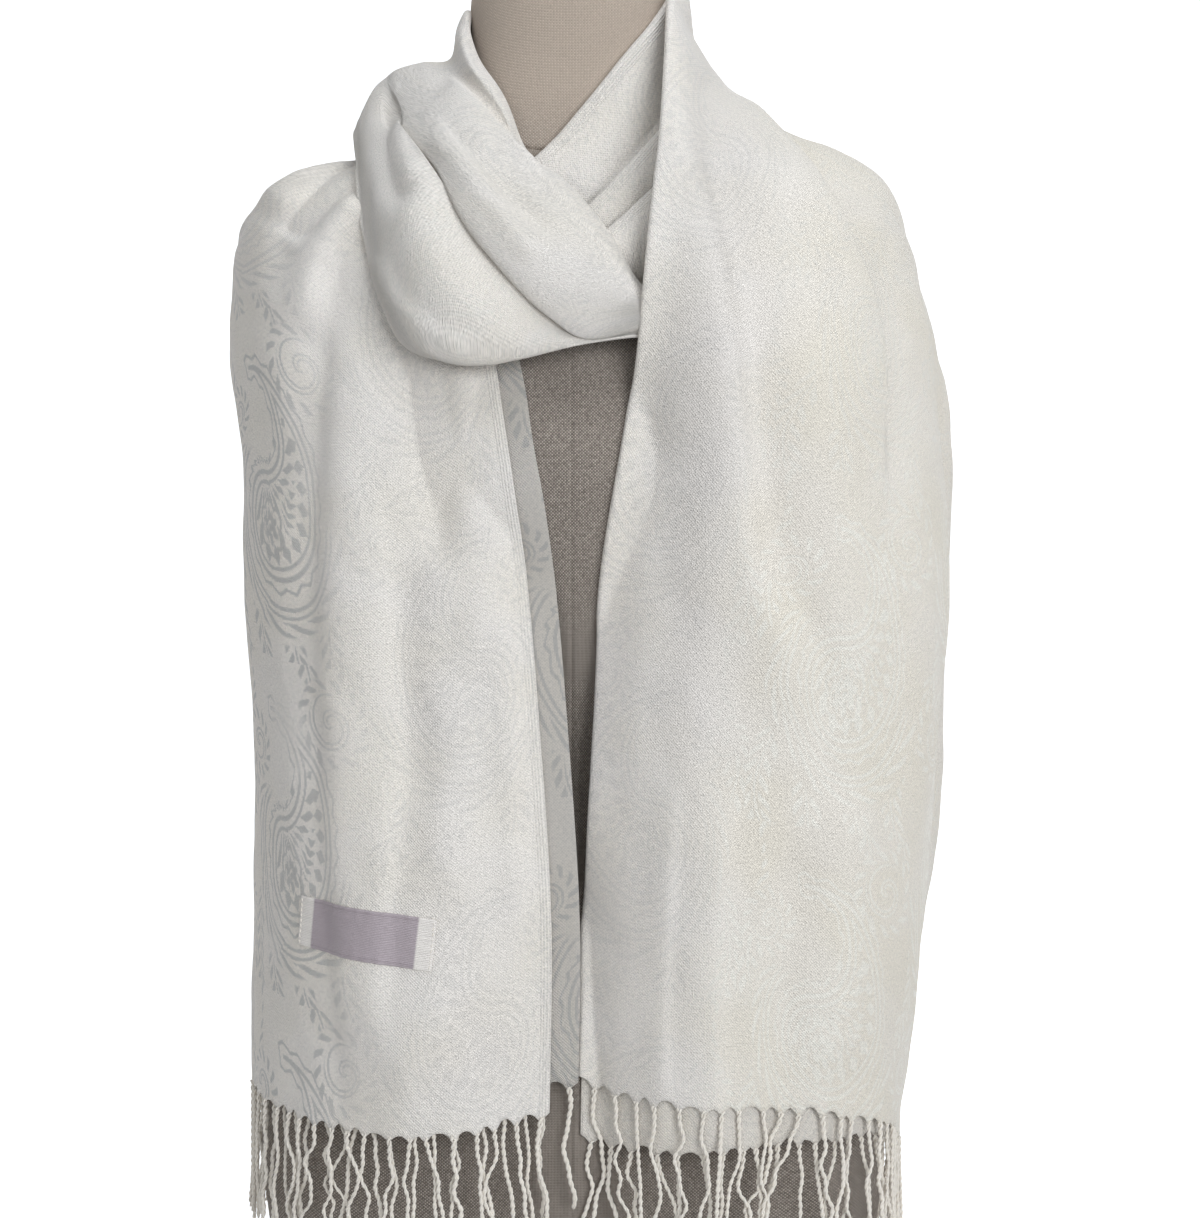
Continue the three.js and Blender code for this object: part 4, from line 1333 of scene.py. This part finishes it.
def colour(name, description, default):
    return bpy.props.FloatVectorProperty(
        name=name, description=description, default=default, subtype="COLOR", size=3, min=0, max=1)


def size(name, description, default):
    return bpy.props.FloatProperty(
        name=name, description=description, default=default, unit="LENGTH", min=0)


def strength(name, description, default):
    return bpy.props.FloatProperty(name=name, description=description, default=default, min=0)


class ShawlSettings(bpy.types.PropertyGroup):
    """What a user may change before building"""

    thickness: size("Cloth thickness", "Thickness of one layer of the shawl", 0.0007)
    thread: size("Cloth thread", "Width of one thread of the shawl's weave", 0.00085)
    cord_spacing: size("Cord spacing", "From one cord of the fringe to the next", 0.012)
    cord_length: size("Cord length", "Length of a cord of the fringe", 0.079)
    cord_width: size("Cord width", "Width of a twisted cord", 0.0026)
    label_width: size("Label width", "Width of the label with its two turned ends", 0.083)
    label_height: size("Label height", "Height of the label", 0.027)
    label_tilt: bpy.props.FloatProperty(
        name="Label tilt", description="How far the label is turned",
        default=math.radians(7), subtype="ANGLE")
    linen_thread: size("Linen thread", "Width of one thread of the form's cover", 0.0009)
    pale: colour("Cool ivory", "The shawl's cooler shade", (0.87, 0.812, 0.75))
    ivory: colour("Warm ivory", "The shawl's warmer shade", (0.815, 0.745, 0.625))
    # Colour of the painted shade beside the right end's fold and on the left under layer's strip
    shade: colour("Shaded ivory", "The shawl beside the fold of the right end", (0.645, 0.597, 0.55))
    # Also the colour of the painted shade on the figure of the left end's outer side
    figure: colour("Figure", "Where the paisley is seen darkest", (0.445, 0.43, 0.41))
    # Colour of the painted sheen on the figure of the right end
    painted_sheen: colour("Gloss", "Where the paisley is seen lightest", (0.94, 0.90, 0.80))
    linen_pale: colour("Pale linen", "The lighter thread of the form's cover", (0.61, 0.53, 0.455))
    linen_deep: colour("Deep linen", "The darker thread of the form's cover", (0.178, 0.149, 0.124))
    linen_faded: colour("Faded linen", "The form's cover at the neck", (0.68, 0.553, 0.445))
    label: colour("Label", "The ground of the label", (0.45, 0.38, 0.40))
    key: strength("Key light", "Watts of the main soft light", 48)
    fill: strength("Fill light", "Watts of the light from the left", 9)
    side: strength("Side light", "Watts of the light from the right", 2)
    top: strength("Top light", "Watts of the light from above", 18)
    room: strength("Room light", "Strength of the light from all round", 0.17)
    floor_glow: strength("Floor glow", "How much the floor lights itself", 0.75)
    lens: bpy.props.FloatProperty(
        name="Lens", description="Focal length of the camera", default=78.5, min=10)
    camera_place: bpy.props.FloatVectorProperty(
        name="Camera place", description="Where the camera stands",
        default=(0.016, -1.6, 0.424), subtype="XYZ_LENGTH")


STEPS = (
    SHAWL_OT_dress_form, SHAWL_OT_left_end, SHAWL_OT_right_end, SHAWL_OT_pleats, SHAWL_OT_stage,
)


class SHAWL_PT_panel(bpy.types.Panel):
    """The shawl's steps, in the order in which they are built"""

    bl_idname = "SHAWL_PT_panel"
    bl_label = "Wound shawl"
    bl_space_type = "VIEW_3D"
    bl_region_type = "UI"
    bl_category = "Shawl"

    def draw(self, context):
        chosen = context.scene.shawl_settings
        for name in ShawlSettings.__annotations__:
            self.layout.prop(chosen, name)
        for step in STEPS:
            self.layout.operator(step.bl_idname)


def register():
    for kind in (ShawlSettings, *STEPS, SHAWL_PT_panel):
        bpy.utils.register_class(kind)
    bpy.types.Scene.shawl_settings = bpy.props.PointerProperty(type=ShawlSettings)


def unregister():
    del bpy.types.Scene.shawl_settings
    for kind in (SHAWL_PT_panel, *reversed(STEPS), ShawlSettings):
        bpy.utils.unregister_class(kind)


def main():
    register()
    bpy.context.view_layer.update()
    bpy.ops.shawl.dress_form()
    bpy.ops.shawl.left_end()
    bpy.ops.shawl.right_end()
    bpy.ops.shawl.pleats()
    bpy.ops.shawl.stage()


if __name__ == "__main__":
    main()
